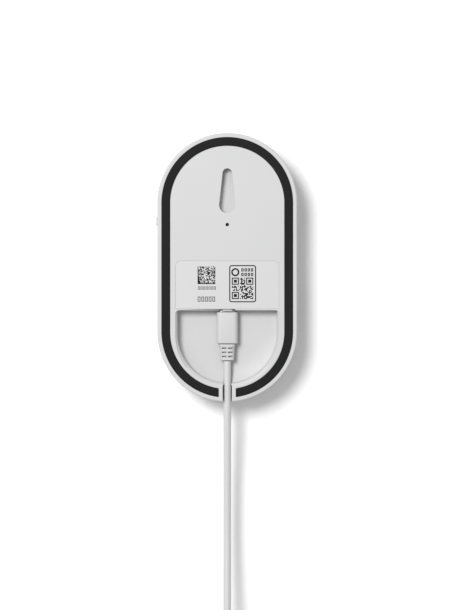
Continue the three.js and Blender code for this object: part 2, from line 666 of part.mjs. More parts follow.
function mainBoard() {
  const plate = prism("z", bodyOutline(BOARD_INSET), BOARD_Z, BOARD_TOP);
  const notchHalf = KEYHOLE_HEAD_RADIUS + POCKET_WALL + 0.5;
  const cuts = [
    box([-BODY_WIDTH, BODY_WIDTH], [-BODY_LENGTH, BOARD_EDGE], [0, BODY_DEPTH]),
    box([-notchHalf, notchHalf], [KEYHOLE_LOW_Y - notchHalf, BODY_LENGTH], [0, BODY_DEPTH]),
    ...BOARD_SCREWS.map(([x, y]) => rod("z", x, y, SCREW_HOLE_RADIUS, 0, BODY_DEPTH, 12)),
  ];
  return without(plate, cuts);
}

const onBoard = (height) => [BOARD_TOP + 0.05, BOARD_TOP + 0.05 + height];
const socketY = [RECESS_TOP + SOCKET_SETBACK, RECESS_TOP + SOCKET_SETBACK + SOCKET_LENGTH];

function socketShell() {
  const height = span(PLUG_Z, SOCKET_HEIGHT);
  const width = span(0, SOCKET_WIDTH);
  const section = (wall) => {
    const inner = [height[0] + wall, height[1] - wall];
    return roundedBox(inner, [width[0] + wall, width[1] - wall], (inner[1] - inner[0]) / 2 - 0.1, 5);
  };
  const shell = prism("y", section(0), ...socketY);
  return shell.subtract(prism("y", section(SOCKET_WALL), socketY[0] - 1, socketY[1] - SOCKET_WALL));
}

function socketTongue() {
  const y = [socketY[0] + 0.8, socketY[1] - SOCKET_WALL - 0.1];
  const tongue = box(span(0, TONGUE_WIDTH), y, span(PLUG_Z, TONGUE_THICKNESS));
  const rootHeight = SOCKET_HEIGHT - 2 * SOCKET_WALL - 0.3;
  const root = box(span(0, TONGUE_WIDTH), [y[1] - 1, y[1]], span(PLUG_Z, rootHeight));
  return tongue.add(root);
}

addPiece("main_board", mainBoard(), boardGreen);
addPiece("usb_socket_shell", socketShell(), steel);
addPiece("usb_socket_tongue", socketTongue(), blackPlastic);

const RADIO_X = -14.2;
const RADIO_Y = RECESS_TOP + 25.5;
addPiece("wifi_module", box(span(RADIO_X, 14.6), span(RADIO_Y, 18), onBoard(0.8)), boardGreen);
const shieldZ = [BOARD_TOP + 0.9, PANEL_INNER - SHIELD_HEADROOM];
addPiece("wifi_shield", box(span(RADIO_X, 11.6), span(RADIO_Y - 2, 12), shieldZ), steel);
addPiece("power_inductor", box(span(12, 4.2), span(RECESS_TOP + 12, 4.2), onBoard(2.2)), blackPlastic);
addPiece("power_capacitor", rod("z", 18.5, RECESS_TOP + 12, 2, ...onBoard(2.6)), steel);

// The reset switch under the pinhole: a body with a well, and the plunger that a pin presses down.
const RESET_TRAVEL = 0.25;
const resetZ = onBoard(2);
const resetWell = resetZ[0] + 0.6;

function resetSwitch() {
  const body = box(span(0, 4.2), span(PINHOLE_Y, 3.4), resetZ);
  return body.subtract(rod("z", 0, PINHOLE_Y, 1.1, resetWell, BODY_DEPTH));
}

addPiece("reset_switch", resetSwitch(), blackPlastic);
const plungerZ = [resetWell + RESET_TRAVEL + 0.15, PANEL_INNER - 0.9];
addPiece("reset_plunger", rod("z", 0, PINHOLE_Y, 0.9, ...plungerZ), blackPlastic);

// ---- Side button ---------------------------------------------------------------------------------

const flangeX = [GAP - INNER_X, GAP - INNER_X + FLANGE_THICKNESS];
const stemEnd = flangeX[1] + STEM_LENGTH;
const nubStart = stemEnd + BUTTON_TRAVEL + 0.1;
const switchStart = nubStart + 0.5;

function sideButton() {
  const capX = [-HALF_WIDTH - BUTTON_PROUD, flangeX[1]];
  const cap = pillow("x", buttonSection(0), ...capX, 0.35, 0.35, 2);
  const flange = prism("x", buttonSection(FLANGE_BORDER), ...flangeX);
  const stem = rod("x", BUTTON_Y, BUTTON_Z, STEM_RADIUS, flangeX[1] - 0.2, stemEnd, 12);
  return joined([cap, flange, stem]);
}

function buttonSwitch() {
  const body = box([switchStart, switchStart + 3.4], span(BUTTON_Y, 6), [BUTTON_Z - 1.8, BOARD_Z - 0.05]);
  return body.add(rod("x", BUTTON_Y, BUTTON_Z, 0.8, nubStart, switchStart + 0.2, 12));
}

addPiece("side_button", sideButton(), whitePlastic);
addPiece("button_switch", buttonSwitch(), blackPlastic);

// ---- Gas sensor board and status light -------------------------------------------------------------

function sensorBoard() {
  const z = [SENSOR_BOARD_Z, SENSOR_BOARD_Z + SENSOR_BOARD_THICKNESS];
  const plate = prism("z", bodyOutline(SENSOR_BOARD_INSET), ...z);
  const cuts = [
    box([-BODY_WIDTH, BODY_WIDTH], [RECESS_TOP + SENSOR_BOARD_TOP, BODY_LENGTH], [0, BODY_DEPTH]),
    ...SENSOR_SCREWS.map(([x, y]) => rod("z", x, y, SCREW_HOLE_RADIUS, 0, BODY_DEPTH, 12)),
  ];
  return without(plate, cuts);
}

const underSensorBoard = (height) => [SENSOR_BOARD_Z - 0.05 - height, SENSOR_BOARD_Z - 0.05];

function carbonDioxideSensor() {
  const y = span(RECESS_TOP - 4, 10.1);
  const can = box(span(-10, 10.1), y, underSensorBoard(6.4));
  const port = rod("z", -10, RECESS_TOP - 4, 2.6, 0, SENSOR_BOARD_Z - 5.9);
  return can.subtract(port);
}

// A small gas sensor package with its inlet hole.
function gasChip(x, y, size) {
  const chip = box(span(x, size), span(y, size), underSensorBoard(1));
  return chip.subtract(rod("z", x, y, size / 5, 0, SENSOR_BOARD_Z - 0.7, 12));
}

addPiece("sensor_board", sensorBoard(), boardGreen);
addPiece("co2_sensor", carbonDioxideSensor(), steel);
addPiece("voc_sensor", gasChip(10, RECESS_TOP - 2, 3), blackPlastic);
addPiece("climate_sensor", gasChip(10, -ARC_Y - 14, 2.5), ceramicWhite);

const headerZ = [SENSOR_BOARD_Z + SENSOR_BOARD_THICKNESS + 0.05, BOARD_Z - 0.05];
addPiece("link_header", box(span(8, 16), span(RECESS_TOP + 6.5, 2.6), headerZ), blackPlastic);

for (let index = 0; index < LED_COUNT; index += 1) {
  const x = (index - (LED_COUNT - 1) / 2) * LED_PITCH;
  const led = box(span(x, 2), span(WINDOW_Y, 1.6), underSensorBoard(0.7));
  addPiece(`status_led_${index + 1}`, led, ceramicWhite);
}

function lightGuide() {
  const top = underSensorBoard(0.7)[0] - 0.1;
  const bar = prism("z", windowSection(0), 0.1, top);
  const flange = prism("z", windowSection(0.8), FRONT_WALL + 0.15, FRONT_WALL + 1);
  return bar.add(flange);
}

addPiece("light_guide", lightGuide(), clearAcrylic);

// Foam that keeps the boards' heat away from the gas sensors.
const dividerLow = RECESS_TOP + SENSOR_BOARD_TOP + 1;
const dividerHalf = INNER_X - 1.8;
const dividerZ = [FRONT_WALL + 0.2, BOARD_Z - 0.1];
addPiece("foam_divider", box([-dividerHalf, dividerHalf], [dividerLow, dividerLow + 3], dividerZ), foamGrey);

// ---- Fine dust sensor ------------------------------------------------------------------------------

const dustX = DUST_WIDTH / 2;
const dustTopZ = DUST_Z + DUST_HEIGHT;
const lidZ = [dustTopZ - DUST_LID, dustTopZ];
const trayZ = [DUST_Z, lidZ[0] - GAP];
const dustFloor = DUST_Z + DUST_WALL;
const ductZ = span(SLOT_LOW_Z + 2.5, DUCT_HEIGHT);

const ductOpening = (y) => {
  const openZ = [ductZ[0] + DUCT_WALL, ductZ[1] - DUCT_WALL];
  return box([0, BODY_WIDTH], span(y, DUCT_WIDTH - 2 * DUCT_WALL), openZ);
};

function dustTray() {
  const outside = prism("z", roundedBox([-dustX, dustX], [DUST_LOW, DUST_TOP], 1.2), ...trayZ);
  const wall = DUST_WALL;
  const inside = [[wall - dustX, dustX - wall], [DUST_LOW + wall, DUST_TOP - wall], [dustFloor, BODY_DEPTH]];
  const rib = box([-6, dustX - wall / 2], span(DUST_LOW + 8, 0.9), [dustFloor - 0.2, dustFloor + 5]);
  return without(outside.subtract(box(...inside)).add(rib), [ductOpening(INLET_Y), ductOpening(OUTLET_Y)]);
}

function dustLid() {
  const plate = prism("z", roundedBox([-dustX, dustX], [DUST_LOW, DUST_TOP], 1.2), ...lidZ);
  const inset = DUST_WALL + 0.15;
  const rim = (more) => [
    [inset + more - dustX, dustX - inset - more],
    [DUST_LOW + inset + more, DUST_TOP - inset - more],
  ];
  const skirtZ = [lidZ[0] - 0.9, lidZ[0] + 0.2];
  const skirt = box(...rim(0), skirtZ).subtract(box(...rim(0.9), [skirtZ[0] - 1, skirtZ[1] + 1]));
  return plate.add(skirt);
}

const FAN_X = -5.5;
const FAN_Y = DUST_TOP - DUST_WALL - FAN_RADIUS - 1;
const fanBaseZ = dustFloor + 0.05;
const shaftTop = fanBaseZ + 5.8;
const dustBoardZ = [lidZ[0] - 2, lidZ[0] - 1.1];

function fanBase() {
  return joined([
    rod("z", FAN_X, FAN_Y, FAN_RADIUS - 0.6, fanBaseZ, fanBaseZ + 0.7, 24),
    rod("z", FAN_X, FAN_Y, 3.2, fanBaseZ + 0.5, fanBaseZ + 2.6, 20),
    rod("z", FAN_X, FAN_Y, FAN_SHAFT_RADIUS, fanBaseZ + 2.4, shaftTop, 16),
  ]);
}

function fanRotor() {
  const low = fanBaseZ + 1;
  const high = fanBaseZ + 6.2;
  const hub = rod("z", FAN_X, FAN_Y, 4.4, low, high, 24);
  const blades = Array.from({ length: FAN_BLADES }, (_, index) => {
    const blade = new THREE.BoxGeometry(FAN_RADIUS - 4, 0.7, high - low - 0.6);
    blade.translate(FAN_RADIUS / 2 + 2, 0, 0);
    blade.rotateZ((2 * Math.PI * index) / FAN_BLADES);
    blade.translate(FAN_X, FAN_Y, (high + low) / 2);
    return solid(blade);
  });
  const cuts = [
    rod("z", FAN_X, FAN_Y, 3.6, low - 1, fanBaseZ + 3, 20),
    rod("z", FAN_X, FAN_Y, FAN_SHAFT_RADIUS + FAN_SHAFT_CLEARANCE, fanBaseZ + 2, shaftTop + 0.15, 16),
  ];
  return without(joined([hub, ...blades]), cuts);
}

function laserModule() {
  const y = DUST_LOW + 4.4;
  const block = box([-15.8, -9.8], span(y, 5), [dustFloor + 0.05, dustFloor + 5.2]);
  return block.add(rod("x", y, dustFloor + 2.6, 1.5, -10, -8.2, 14));
}

addPiece("dust_tray", dustTray(), blackPlastic);
addPiece("dust_lid", dustLid(), steel);
const dustBoardX = [DUST_WALL + 1.4 - dustX, dustX - DUST_WALL - 1.4];
const dustBoardY = [DUST_LOW + DUST_WALL + 1.4, DUST_TOP - DUST_WALL - 1.4];
addPiece("dust_board", box(dustBoardX, dustBoardY, dustBoardZ), boardGreen);
addPiece("fan_base", fanBase(), blackPlastic);
addPiece("fan_rotor", fanRotor(), greyPlastic);
addPiece("laser_module", laserModule(), steel);
const photodiodeZ = [dustFloor + 0.05, dustFloor + 1.2];
addPiece("photodiode", box(span(1, 3), span(DUST_LOW + 4.4, 3), photodiodeZ), blackPlastic);

// Foam ducts from the dust sensor to its air slots.
function foamDuct(y) {
  const x = [dustX + GAP, INNER_X - 0.15 - SCREEN_THICKNESS - 0.2];
  return box(x, span(y, DUCT_WIDTH), ductZ).subtract(ductOpening(y));
}

addPiece("inlet_duct", foamDuct(INLET_Y), foamGrey);
addPiece("outlet_duct", foamDuct(OUTLET_Y), foamGrey);

// ---- Supply lead -----------------------------------------------------------------------------------

function plugShell() {
  const section = (wall) => {
    const height = span(PLUG_Z, PLUG_SHELL_HEIGHT - 2 * wall);
    const width = span(0, PLUG_SHELL_WIDTH - 2 * wall);
    return roundedBox(height, width, (height[1] - height[0]) / 2 - 0.05, 5);
  };
  const y = [PLUG_FRONT + 0.05, PLUG_FRONT + PLUG_SHELL_LENGTH];
  return prism("y", section(0), ...y).subtract(prism("y", section(0.55), y[0] + 0.6, y[1] + 1));
}

const plugSection = (width, thickness, radius) =>
  roundedBox(span(PLUG_Z, thickness), span(0, width), radius, 4);

// The moulded strain relief narrows away from the plug, and has pairs of slots above and below.
function strainRelief() {
  const end = RELIEF_START - RELIEF_LENGTH;
  const section = plugSection(RELIEF_WIDTH, RELIEF_THICKNESS, 1.9);
  const geometry = pillowGeometry("y", section, end, RELIEF_START, 0.4, 0.4, 2);
  const place = geometry.attributes.position;
  for (let index = 0; index < place.count; index += 1) {
    const share = (RELIEF_START - place.getY(index)) / RELIEF_LENGTH;
    const scale = 1 + (RELIEF_TAPER - 1) * share;
    place.setX(index, place.getX(index) * scale);
    place.setZ(index, PLUG_Z + (place.getZ(index) - PLUG_Z) * scale);
  }
  const slots = [];
  for (let row = 0; row < RELIEF_ROWS; row += 1) {
    const y = span(RELIEF_START - 2 - row * RELIEF_PITCH, 0.66);
    for (const [sideX, sideZ] of CORNERS) {
      const x = [sideX * 0.5, sideX * 2.95].sort((a, b) => a - b);
      const z = [PLUG_Z + sideZ * 1.5, PLUG_Z + sideZ * 4].sort((a, b) => a - b);
      slots.push(box(x, y, z));
    }
  }
  return without(solid(geometry), slots);
}

function leadTube() {
  const path = new THREE.CatmullRomCurve3(LEAD_POINTS.map((point) => new THREE.Vector3(...point)));
  const section = new THREE.Shape(circle(0, 0, CORD_DIAMETER / 2, CORD_SIDES));
  return solid(new THREE.ExtrudeGeometry(section, { steps: LEAD_POINTS.length, extrudePath: path }));
}

function leadCoil() {
  const radius = [COIL_RADIUS - COIL_HALF_WIDTH, COIL_RADIUS + COIL_HALF_WIDTH];
  const z = [COIL_LIFT, COIL_LIFT + COIL_HEIGHT];
  const chamfer = 1.2;
  const profile = [
    [radius[1] - chamfer, z[0]],
    [radius[1], z[0] + chamfer],
    [radius[1], z[1] - chamfer],
    [radius[1] - chamfer, z[1]],
    [radius[0] + chamfer, z[1]],
    [radius[0], z[1] - chamfer],
    [radius[0], z[0] + chamfer],
    [radius[0] + chamfer, z[0]],
    [radius[1] - chamfer, z[0]],
  ].map(([r, height]) => new THREE.Vector2(r, height));
  const geometry = new THREE.LatheGeometry(profile, 28);
  geometry.rotateX(Math.PI / 2);
  geometry.translate(COIL_CENTRE_X, COIL_CENTRE_Y, 0);
  return solid(geometry);
}

// The tie is a band round the coil's turns, on the side away from the incoming lead.
function coilTie() {
  const outerX = COIL_CENTRE_X + COIL_RADIUS + COIL_HALF_WIDTH + GAP;
  const innerX = COIL_CENTRE_X + COIL_RADIUS - COIL_HALF_WIDTH - 1.2;
  const z = [COIL_LIFT - GAP, COIL_LIFT + COIL_HEIGHT + GAP];
  const y = span(COIL_CENTRE_Y, TIE_WIDTH);
  const wide = (by) => [[innerX - by, outerX + by], y, [z[0] - by, z[1] + by]];
  const hole = [[innerX, outerX], span(COIL_CENTRE_Y, TIE_WIDTH + 2), z];
  return box(...wide(TIE_THICKNESS)).subtract(box(...hole));
}

addPiece("plug_shell", plugShell(), steel);
const plugBodySection = plugSection(PLUG_WIDTH, PLUG_THICKNESS, 1.7);
addPiece("plug_body", pillow("y", plugBodySection, PLUG_BACK, PLUG_FRONT, 0.7, 0.7, 3), leadPlastic);
addPiece("plug_strain_relief", strainRelief(), leadPlastic);
addPiece("supply_lead", leadTube(), leadPlastic);
addPiece("lead_coil", leadCoil(), leadPlastic);
addPiece("coil_tie", coilTie(), tieFabric);

// The far end: a short tail from the coil's lowest outer turn to the charger plug, which lies flat.
const CHARGER_PLUG = { width: 14.6, thickness: 7, length: 19, reliefLength: 7 };
const CHARGER_SHELL = { width: 12, height: 4.5, length: 11.8, wall: 0.35 };
const tailY = COIL_CENTRE_Y + COIL_RADIUS + COIL_SPACING;
const tailZ = COIL_LIFT + CORD_DIAMETER / 2;
const chargerZ = CHARGER_PLUG.thickness / 2 + 0.05;
const tailEnd = COIL_CENTRE_X - TAIL_LENGTH;
const reliefEnd = tailEnd - GAP - CHARGER_PLUG.reliefLength;
const chargerX = [reliefEnd - GAP - CHARGER_PLUG.length, reliefEnd - GAP];

function leadTail() {
  const ringRadius = COIL_RADIUS + COIL_HALF_WIDTH;
  const nearSide = COIL_RADIUS + COIL_SPACING + 0.1 - CORD_DIAMETER / 2;
  const start = COIL_CENTRE_X - Math.sqrt(ringRadius ** 2 - nearSide ** 2) - TAIL_GAP;
  const points = [
    [start, tailY + 0.1, tailZ],
    [start - 4, tailY + 0.1, tailZ],
    [(start + tailEnd) / 2, tailY, (tailZ + chargerZ) / 2],
    [tailEnd + 4, tailY, chargerZ],
    [tailEnd, tailY, chargerZ],
  ];
  const path = new THREE.CatmullRomCurve3(points.map((point) => new THREE.Vector3(...point)));
  const section = new THREE.Shape(circle(0, 0, CORD_DIAMETER / 2, CORD_SIDES));
  return solid(new THREE.ExtrudeGeometry(section, { steps: 6, extrudePath: path }));
}

const chargerSection = (width, thickness, radius) =>
  roundedBox(span(tailY, width), span(chargerZ, thickness), radius, 4);

function chargerShell() {
  const { width, height, length, wall } = CHARGER_SHELL;
  const x = [chargerX[0] - GAP - length, chargerX[0] - GAP];
  const shell = prism("x", chargerSection(width, height, 0.4), ...x);
  const hollow = chargerSection(width - 2 * wall, height - 2 * wall, 0.2);
  return shell.subtract(prism("x", hollow, x[0] - 1, x[1] - 0.4));
}

function chargerInsulator() {
  const { width, height, length, wall } = CHARGER_SHELL;
  const x = [chargerX[0] - GAP - length + 0.3, chargerX[0] - GAP - 0.5];
  const low = chargerZ - height / 2 + wall + 0.05;
  return box(x, span(tailY, width - 2 * wall - 0.2), [low, low + 1.9]);
}

const chargerRelief = chargerSection(6.4, 5.4, 2.4);
const chargerBody = chargerSection(CHARGER_PLUG.width, CHARGER_PLUG.thickness, 2);
addPiece("lead_tail", leadTail(), leadPlastic);
addPiece("charger_relief", pillow("x", chargerRelief, reliefEnd, tailEnd - GAP, 0.5, 0.5, 2), leadPlastic);
addPiece("charger_plug_body", pillow("x", chargerBody, ...chargerX, 0.8, 0.8, 3), leadPlastic);
addPiece("charger_plug_shell", chargerShell(), steel);
addPiece("charger_plug_insulator", chargerInsulator(), ceramicWhite);

export default monitor;
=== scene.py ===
# %% [markdown]
# # An air quality monitor
# This lesson builds the visible pieces of a small indoor air quality monitor, which lies face down
# with its supply lead plugged into its back. The frame holds its solids, inside and out, each on
# the body that carries it. The inner solids stay and only get a finish, and the outer ones are
# replaced by finer pieces, which are drawn in millimetres.

# %% Load the monitor's frame
import math
import random

import bmesh
import bpy
from mathutils import Matrix, Vector
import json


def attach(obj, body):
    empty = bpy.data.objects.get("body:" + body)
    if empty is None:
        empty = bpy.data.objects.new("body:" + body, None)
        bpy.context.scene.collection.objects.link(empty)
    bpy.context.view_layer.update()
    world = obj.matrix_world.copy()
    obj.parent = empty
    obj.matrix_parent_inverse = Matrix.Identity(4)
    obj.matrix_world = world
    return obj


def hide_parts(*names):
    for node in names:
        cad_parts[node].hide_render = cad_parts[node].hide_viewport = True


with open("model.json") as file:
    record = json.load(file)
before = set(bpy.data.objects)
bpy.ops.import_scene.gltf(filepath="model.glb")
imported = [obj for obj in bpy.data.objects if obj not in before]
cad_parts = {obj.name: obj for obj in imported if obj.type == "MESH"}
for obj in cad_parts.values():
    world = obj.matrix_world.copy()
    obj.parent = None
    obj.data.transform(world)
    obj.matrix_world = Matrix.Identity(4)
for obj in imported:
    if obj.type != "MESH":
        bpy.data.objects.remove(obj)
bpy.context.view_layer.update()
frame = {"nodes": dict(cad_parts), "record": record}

MM = 0.001

# %% [markdown]
# ## Where we look from
# The monitor lies face down and we look straight down on its back, from far away through a long
# lens, so that its walls hardly show. A camera that looks down needs no turn at all in Blender:
# an unturned camera already looks along -Z with +Y upwards.

# %% The camera
VIEW_CENTRE = (0.85, -18.8)
VIEW_WIDTH = 229
VIEW_DISTANCE = 1500
BACK_LEVEL = 21

camera_data = bpy.data.cameras.new("overhead_camera")
camera_data.sensor_fit = "HORIZONTAL"
camera_data.sensor_width = 36
camera_data.lens = 36 * VIEW_DISTANCE / VIEW_WIDTH
camera = bpy.data.objects.new("overhead_camera", camera_data)
camera.location = Vector((*VIEW_CENTRE, BACK_LEVEL + VIEW_DISTANCE)) * MM
bpy.context.scene.collection.objects.link(camera)
bpy.context.scene.camera = camera
print(f"a lens of {camera_data.lens:.0f} mm")

# %% [markdown]
# ## The lead's line
# A supply lead is one curve with a round section. It leaves the plug straight, sags a little
# and then winds: its inner turns go down, the middle ones up and the outer ones down again, which
# is how a lead is wound by hand and leaves both of its ends free. The route to the coil is a
# list of chosen points, and the turns come from a loop. The curve's bevel is one metre deep and each
# point's radius shrinks it to the lead's own, which keeps the curve's box as small as the lead.

# %% The lead
LEAD_DIAMETER = 3.8
LEAD_ROUTE = [
    (0, -46.95, 17), (0, -52, 17), (0, -58, 17), (0, -64, 17), (0, -71, 16.9), (0, -80, 16.4),
    (0, -90, 15.5), (0, -100, 14.7), (0, -110, 14.1), (0, -120, 13.8), (0, -130, 13.8),
    (0, -140, 14.2), (0, -150, 14.9), (0, -160, 15.8), (0, -170, 16.7), (0, -180, 17.5),
    (0, -190, 18), (0, -200, 18.15),
]
TAIL_ROUTE = [
    (10, -186.15, 2.12), (4, -186.15, 2.2), (-1.5, -186.15, 2.6), (-6, -186.15, 3.15),
    (-10, -186.15, 3.5), (-13.85, -186.15, 3.55),
]
COIL_CENTRE = (16.15, -210)
COIL_STEPS = 24
# Each stage of the winding: its turns, the radius and the height that it goes from and to.
COIL_STAGES = [
    (4, 16.15, 16.15, 18.1, 2.7),
    (0.3, 16.15, 20, 2.7, 2.7),
    (3, 20, 20, 2.7, 14.25),
    (0.3, 20, 23.85, 14.25, 14.25),
    (3.15, 23.85, 23.85, 14.25, 2.12),
]


def coil_route():
    route = []
    angle = math.pi
    for turns, radius_from, radius_to, low, high in COIL_STAGES:
        steps = max(6, round(turns * COIL_STEPS))
        for step in range(steps):
            share = step / steps
            turn = angle + 2 * math.pi * turns * share
            radius = radius_from + (radius_to - radius_from) * share
            height = low + (high - low) * share
            x = COIL_CENTRE[0] + radius * math.cos(turn)
            y = COIL_CENTRE[1] + radius * math.sin(turn)
            route.append((x, y, height))
        angle += 2 * math.pi * turns
    return route


def cord_curve(name, route, diameter):
    curve = bpy.data.curves.new(name, "CURVE")
    curve.dimensions = "3D"
    curve.bevel_depth = 1
    curve.bevel_resolution = 5
    curve.resolution_u = 4
    curve.use_fill_caps = True
    line = curve.splines.new("BEZIER")
    line.bezier_points.add(len(route) - 1)
    for point, place in zip(line.bezier_points, route):
        point.co = Vector(place) * MM
        point.handle_left_type = point.handle_right_type = "AUTO"
        point.radius = diameter / 2 * MM
    piece = bpy.data.objects.new(name, curve)
    bpy.context.scene.collection.objects.link(piece)
    return piece


lead_route = LEAD_ROUTE + coil_route() + TAIL_ROUTE
lead = cord_curve("white_lead", lead_route, LEAD_DIAMETER)
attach(lead, "supply_lead")
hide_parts("supply_lead", "lead_coil", "lead_tail")
run = sum((Vector(b) - Vector(a)).length for a, b in zip(lead_route, lead_route[1:]))
print(f"a lead of {run:.0f} mm in {len(lead_route)} points")

# %% [markdown]
# ## A small language for finishes
# A finish is a tree of nodes, and a tree is easier to read as a formula. `Wire` wraps a socket
# so that `1 - mask` or `grain * 0.2` adds the Math nodes by itself, and `Finish` starts a material
# and adds any other node.

# %% Wires and finishes


class Wire:
    def __init__(self, finish, socket):
        self.finish = finish
        self.socket = socket

    def work(self, operation, *values):
        return self.finish.node("ShaderNodeMath", {"operation": operation}, dict(enumerate(values)))

    def __add__(self, other):
        return self.work("ADD", self, other)

    def __radd__(self, other):
        return self.work("ADD", other, self)

    def __sub__(self, other):
        return self.work("SUBTRACT", self, other)

    def __rsub__(self, other):
        return self.work("SUBTRACT", other, self)

    def __mul__(self, other):
        return self.work("MULTIPLY", self, other)

    def __rmul__(self, other):
        return self.work("MULTIPLY", other, self)

    def __gt__(self, other):
        return self.work("GREATER_THAN", self, other)

    def __lt__(self, other):
        return self.work("LESS_THAN", self, other)

    def sine(self):
        return self.work("SINE", self)


class Finish:
    def __init__(self, name):
        self.material = bpy.data.materials.new(name)
        self.material.use_nodes = True
        self.tree = self.material.node_tree
        self.place = self.node("ShaderNodeTexCoord", output="Object")

    def feed(self, socket, value):
        if isinstance(value, Wire):
            self.tree.links.new(value.socket, socket)
        else:
            socket.default_value = value

    def node(self, kind, settings=None, sockets=None, output=0):
        made = self.tree.nodes.new(kind)
        for name, value in (settings or {}).items():
            setattr(made, name, value)
        for name, value in (sockets or {}).items():
            self.feed(made.inputs[name], value)
        return Wire(self, made.outputs[output])

    def noise(self, scale, detail=2, stretch=(1, 1, 1)):
        sized = self.node("ShaderNodeMapping", sockets={"Vector": self.place, "Scale": stretch})
        sockets = {"Vector": sized, "Scale": scale, "Detail": detail}
        return self.node("ShaderNodeTexNoise", sockets=sockets)

    def cells(self, scale):
        sockets = {"Vector": self.place, "Scale": scale}
        return self.node("ShaderNodeTexVoronoi", sockets=sockets, output="Distance")

    def mix(self, share, first, second):
        return self.node("ShaderNodeMix", {"data_type": "RGBA"}, {0: share, 6: first, 7: second}, 2)

    def relief(self, height, depth, strength=1):
        sockets = {"Height": height, "Distance": depth * MM, "Strength": strength}
        return self.node("ShaderNodeBump", sockets=sockets)

    def done(self, **sockets):
        shader = self.tree.nodes["Principled BSDF"]
        for name, value in sockets.items():
            self.feed(shader.inputs[name.replace("_", " ")], value)
        return self.material


def shade(value, tint=(1, 1, 1)):
    return (value * tint[0], value * tint[1], value * tint[2], 1)


# %% [markdown]
# ## Moulded plastics
# The housing is cast in a mould that was eroded by sparks, which leaves a grain a few tenths of a
# millimetre wide: it scatters the light, so that the white looks soft. The grain is a fine noise
# that only tilts the surface, and broader noises let its shine and its white vary by a hair, as on
# any moulding. The same recipe, with other numbers, makes the black and grey inner parts.

# %% Moulded plastics


def moulded(name, white, roughness, tint=(1, 1, 1), grain=0.01, **more):
    finish = Finish(name)
    drift = finish.noise(35, 3)
    spark = finish.noise(3200, 2)
    colour = finish.mix(drift, shade(white * 0.975, tint), shade(white * 1.02, tint))
    shine = finish.noise(420, 2) * 0.1 + (roughness - 0.05)
    return finish.done(
        Base_Color=colour, Roughness=shine, Normal=finish.relief(spark, grain), **more
    )


white_plastic = moulded("white_housing_plastic", 0.575, 0.5, (1, 1, 1.008))
lead_plastic = moulded("soft_white_sheath", 0.6, 0.42, (1, 1, 1.01), 0.004)
plug_plastic = moulded("white_plug_moulding", 0.57, 0.48, (1, 1, 1.01), 0.008)
black_plastic = moulded("black_part_plastic", 0.014, 0.5)
grey_plastic = moulded("grey_fan_plastic", 0.24, 0.55, (1, 1.02, 1.05))
insulator_plastic = moulded("white_insulator", 0.68, 0.4)
acrylic = moulded("frosted_light_bar", 0.8, 0.25, (1, 1.02, 1.03), 0.006, Transmission_Weight=0.5)
print("seven moulded plastics")

# %% [markdown]
# ## Rubber
# The ring that grips the wall is charcoal silicone. It is dark and matt, with a fine pitted skin,
# and a little lint always clings to it: a few small pale specks.

# %% Rubber
rubber = Finish("charcoal_grip_rubber")
pits = rubber.cells(2600)
lint = (rubber.cells(420) < 0.07) * (rubber.noise(60) > 0.56)
bloom = rubber.noise(90, 3)
rubber_base = rubber.mix(bloom, shade(0.008), shade(0.013, (1, 1, 1.04)))
grip_rubber = rubber.done(
    Base_Color=rubber.mix(lint * 0.35, rubber_base, shade(0.1)),
    Roughness=bloom * 0.16 + 0.56,
    Normal=rubber.relief(pits, 0.012, 0.8),
    Specular_IOR_Level=0.13,
)
print("one rubber")

# %% [markdown]
# ## Label film and ink
# The label is a satin film, a little whiter and smoother than the housing. Its print is thermal:
# near black, with a faint band where the print head's dots ran together.

# %% Label film and ink
film = Finish("satin_label_film")
fibre = film.noise(1500, 3, (1, 0.25, 1))
label_film = film.done(
    Base_Color=film.mix(film.noise(70), shade(0.59), shade(0.605)),
    Roughness=fibre * 0.12 + 0.34,
    Normal=film.relief(fibre, 0.004),
)

ink = Finish("thermal_print")
bands = ink.noise(900, 2, (0.2, 1, 1))
label_ink = ink.done(
    Base_Color=ink.mix(bands, shade(0.006), shade(0.022)),
    Specular_IOR_Level=0.2,
    Roughness=bands * 0.2 + 0.45,
    Normal=ink.relief(bands, 0.003),
)

faded = Finish("light_print")
speckle = faded.noise(2400, 1)
faded_ink = faded.done(
    Base_Color=faded.mix(speckle, shade(0.02), shade(0.09)),
    Roughness=speckle * 0.2 + 0.45,
    Normal=faded.relief(speckle, 0.002),
)
print("a film and two inks")

# %% [markdown]
# ## Metal, circuit boards and ceramic
# Cans, screws and shells are pressed from nickel-plated strip: fine lines run along the strip,
# and they change its shine more than its colour. A circuit board shows copper tracks under
# green lacquer and small tinned pads, which a pattern of cells gives well enough at this size.

# %% Metal, circuit boards and ceramic
plating = Finish("nickel_plated_strip")
rolled = plating.noise(1800, 2, (0.06, 1, 1))
tarnish = plating.noise(120, 3)
plated_metal = plating.done(
    Base_Color=plating.mix(tarnish, shade(0.52, (1, 0.99, 0.96)), shade(0.66, (1, 1, 1.01))),
    Roughness=rolled * 0.16 + tarnish * 0.08 + 0.18,
    Normal=plating.relief(rolled, 0.004),
    Metallic=1.0,
)

lacquer = Finish("green_circuit_board")
stripes = {"Vector": lacquer.place, "Scale": 330, "Distortion": 6, "Detail": 1}
lines = lacquer.node("ShaderNodeTexWave", {"bands_direction": "DIAGONAL"}, stripes, 1)
copper = (lines > 0.62) * (lacquer.noise(150) > 0.47)
pads = lacquer.cells(340) < 0.16
green = lacquer.mix(copper, shade(0.06, (0.35, 1.6, 0.8)), shade(0.1, (0.5, 1.9, 0.9)))
circuit_board = lacquer.done(
    Base_Color=lacquer.mix(pads, green, shade(0.55, (1, 0.96, 0.86))),
    Roughness=0.5 - pads * 0.2 + copper * 0.06,
    Metallic=pads * 0.9,
    Normal=lacquer.relief(copper + pads * 0.5, 0.02),
)

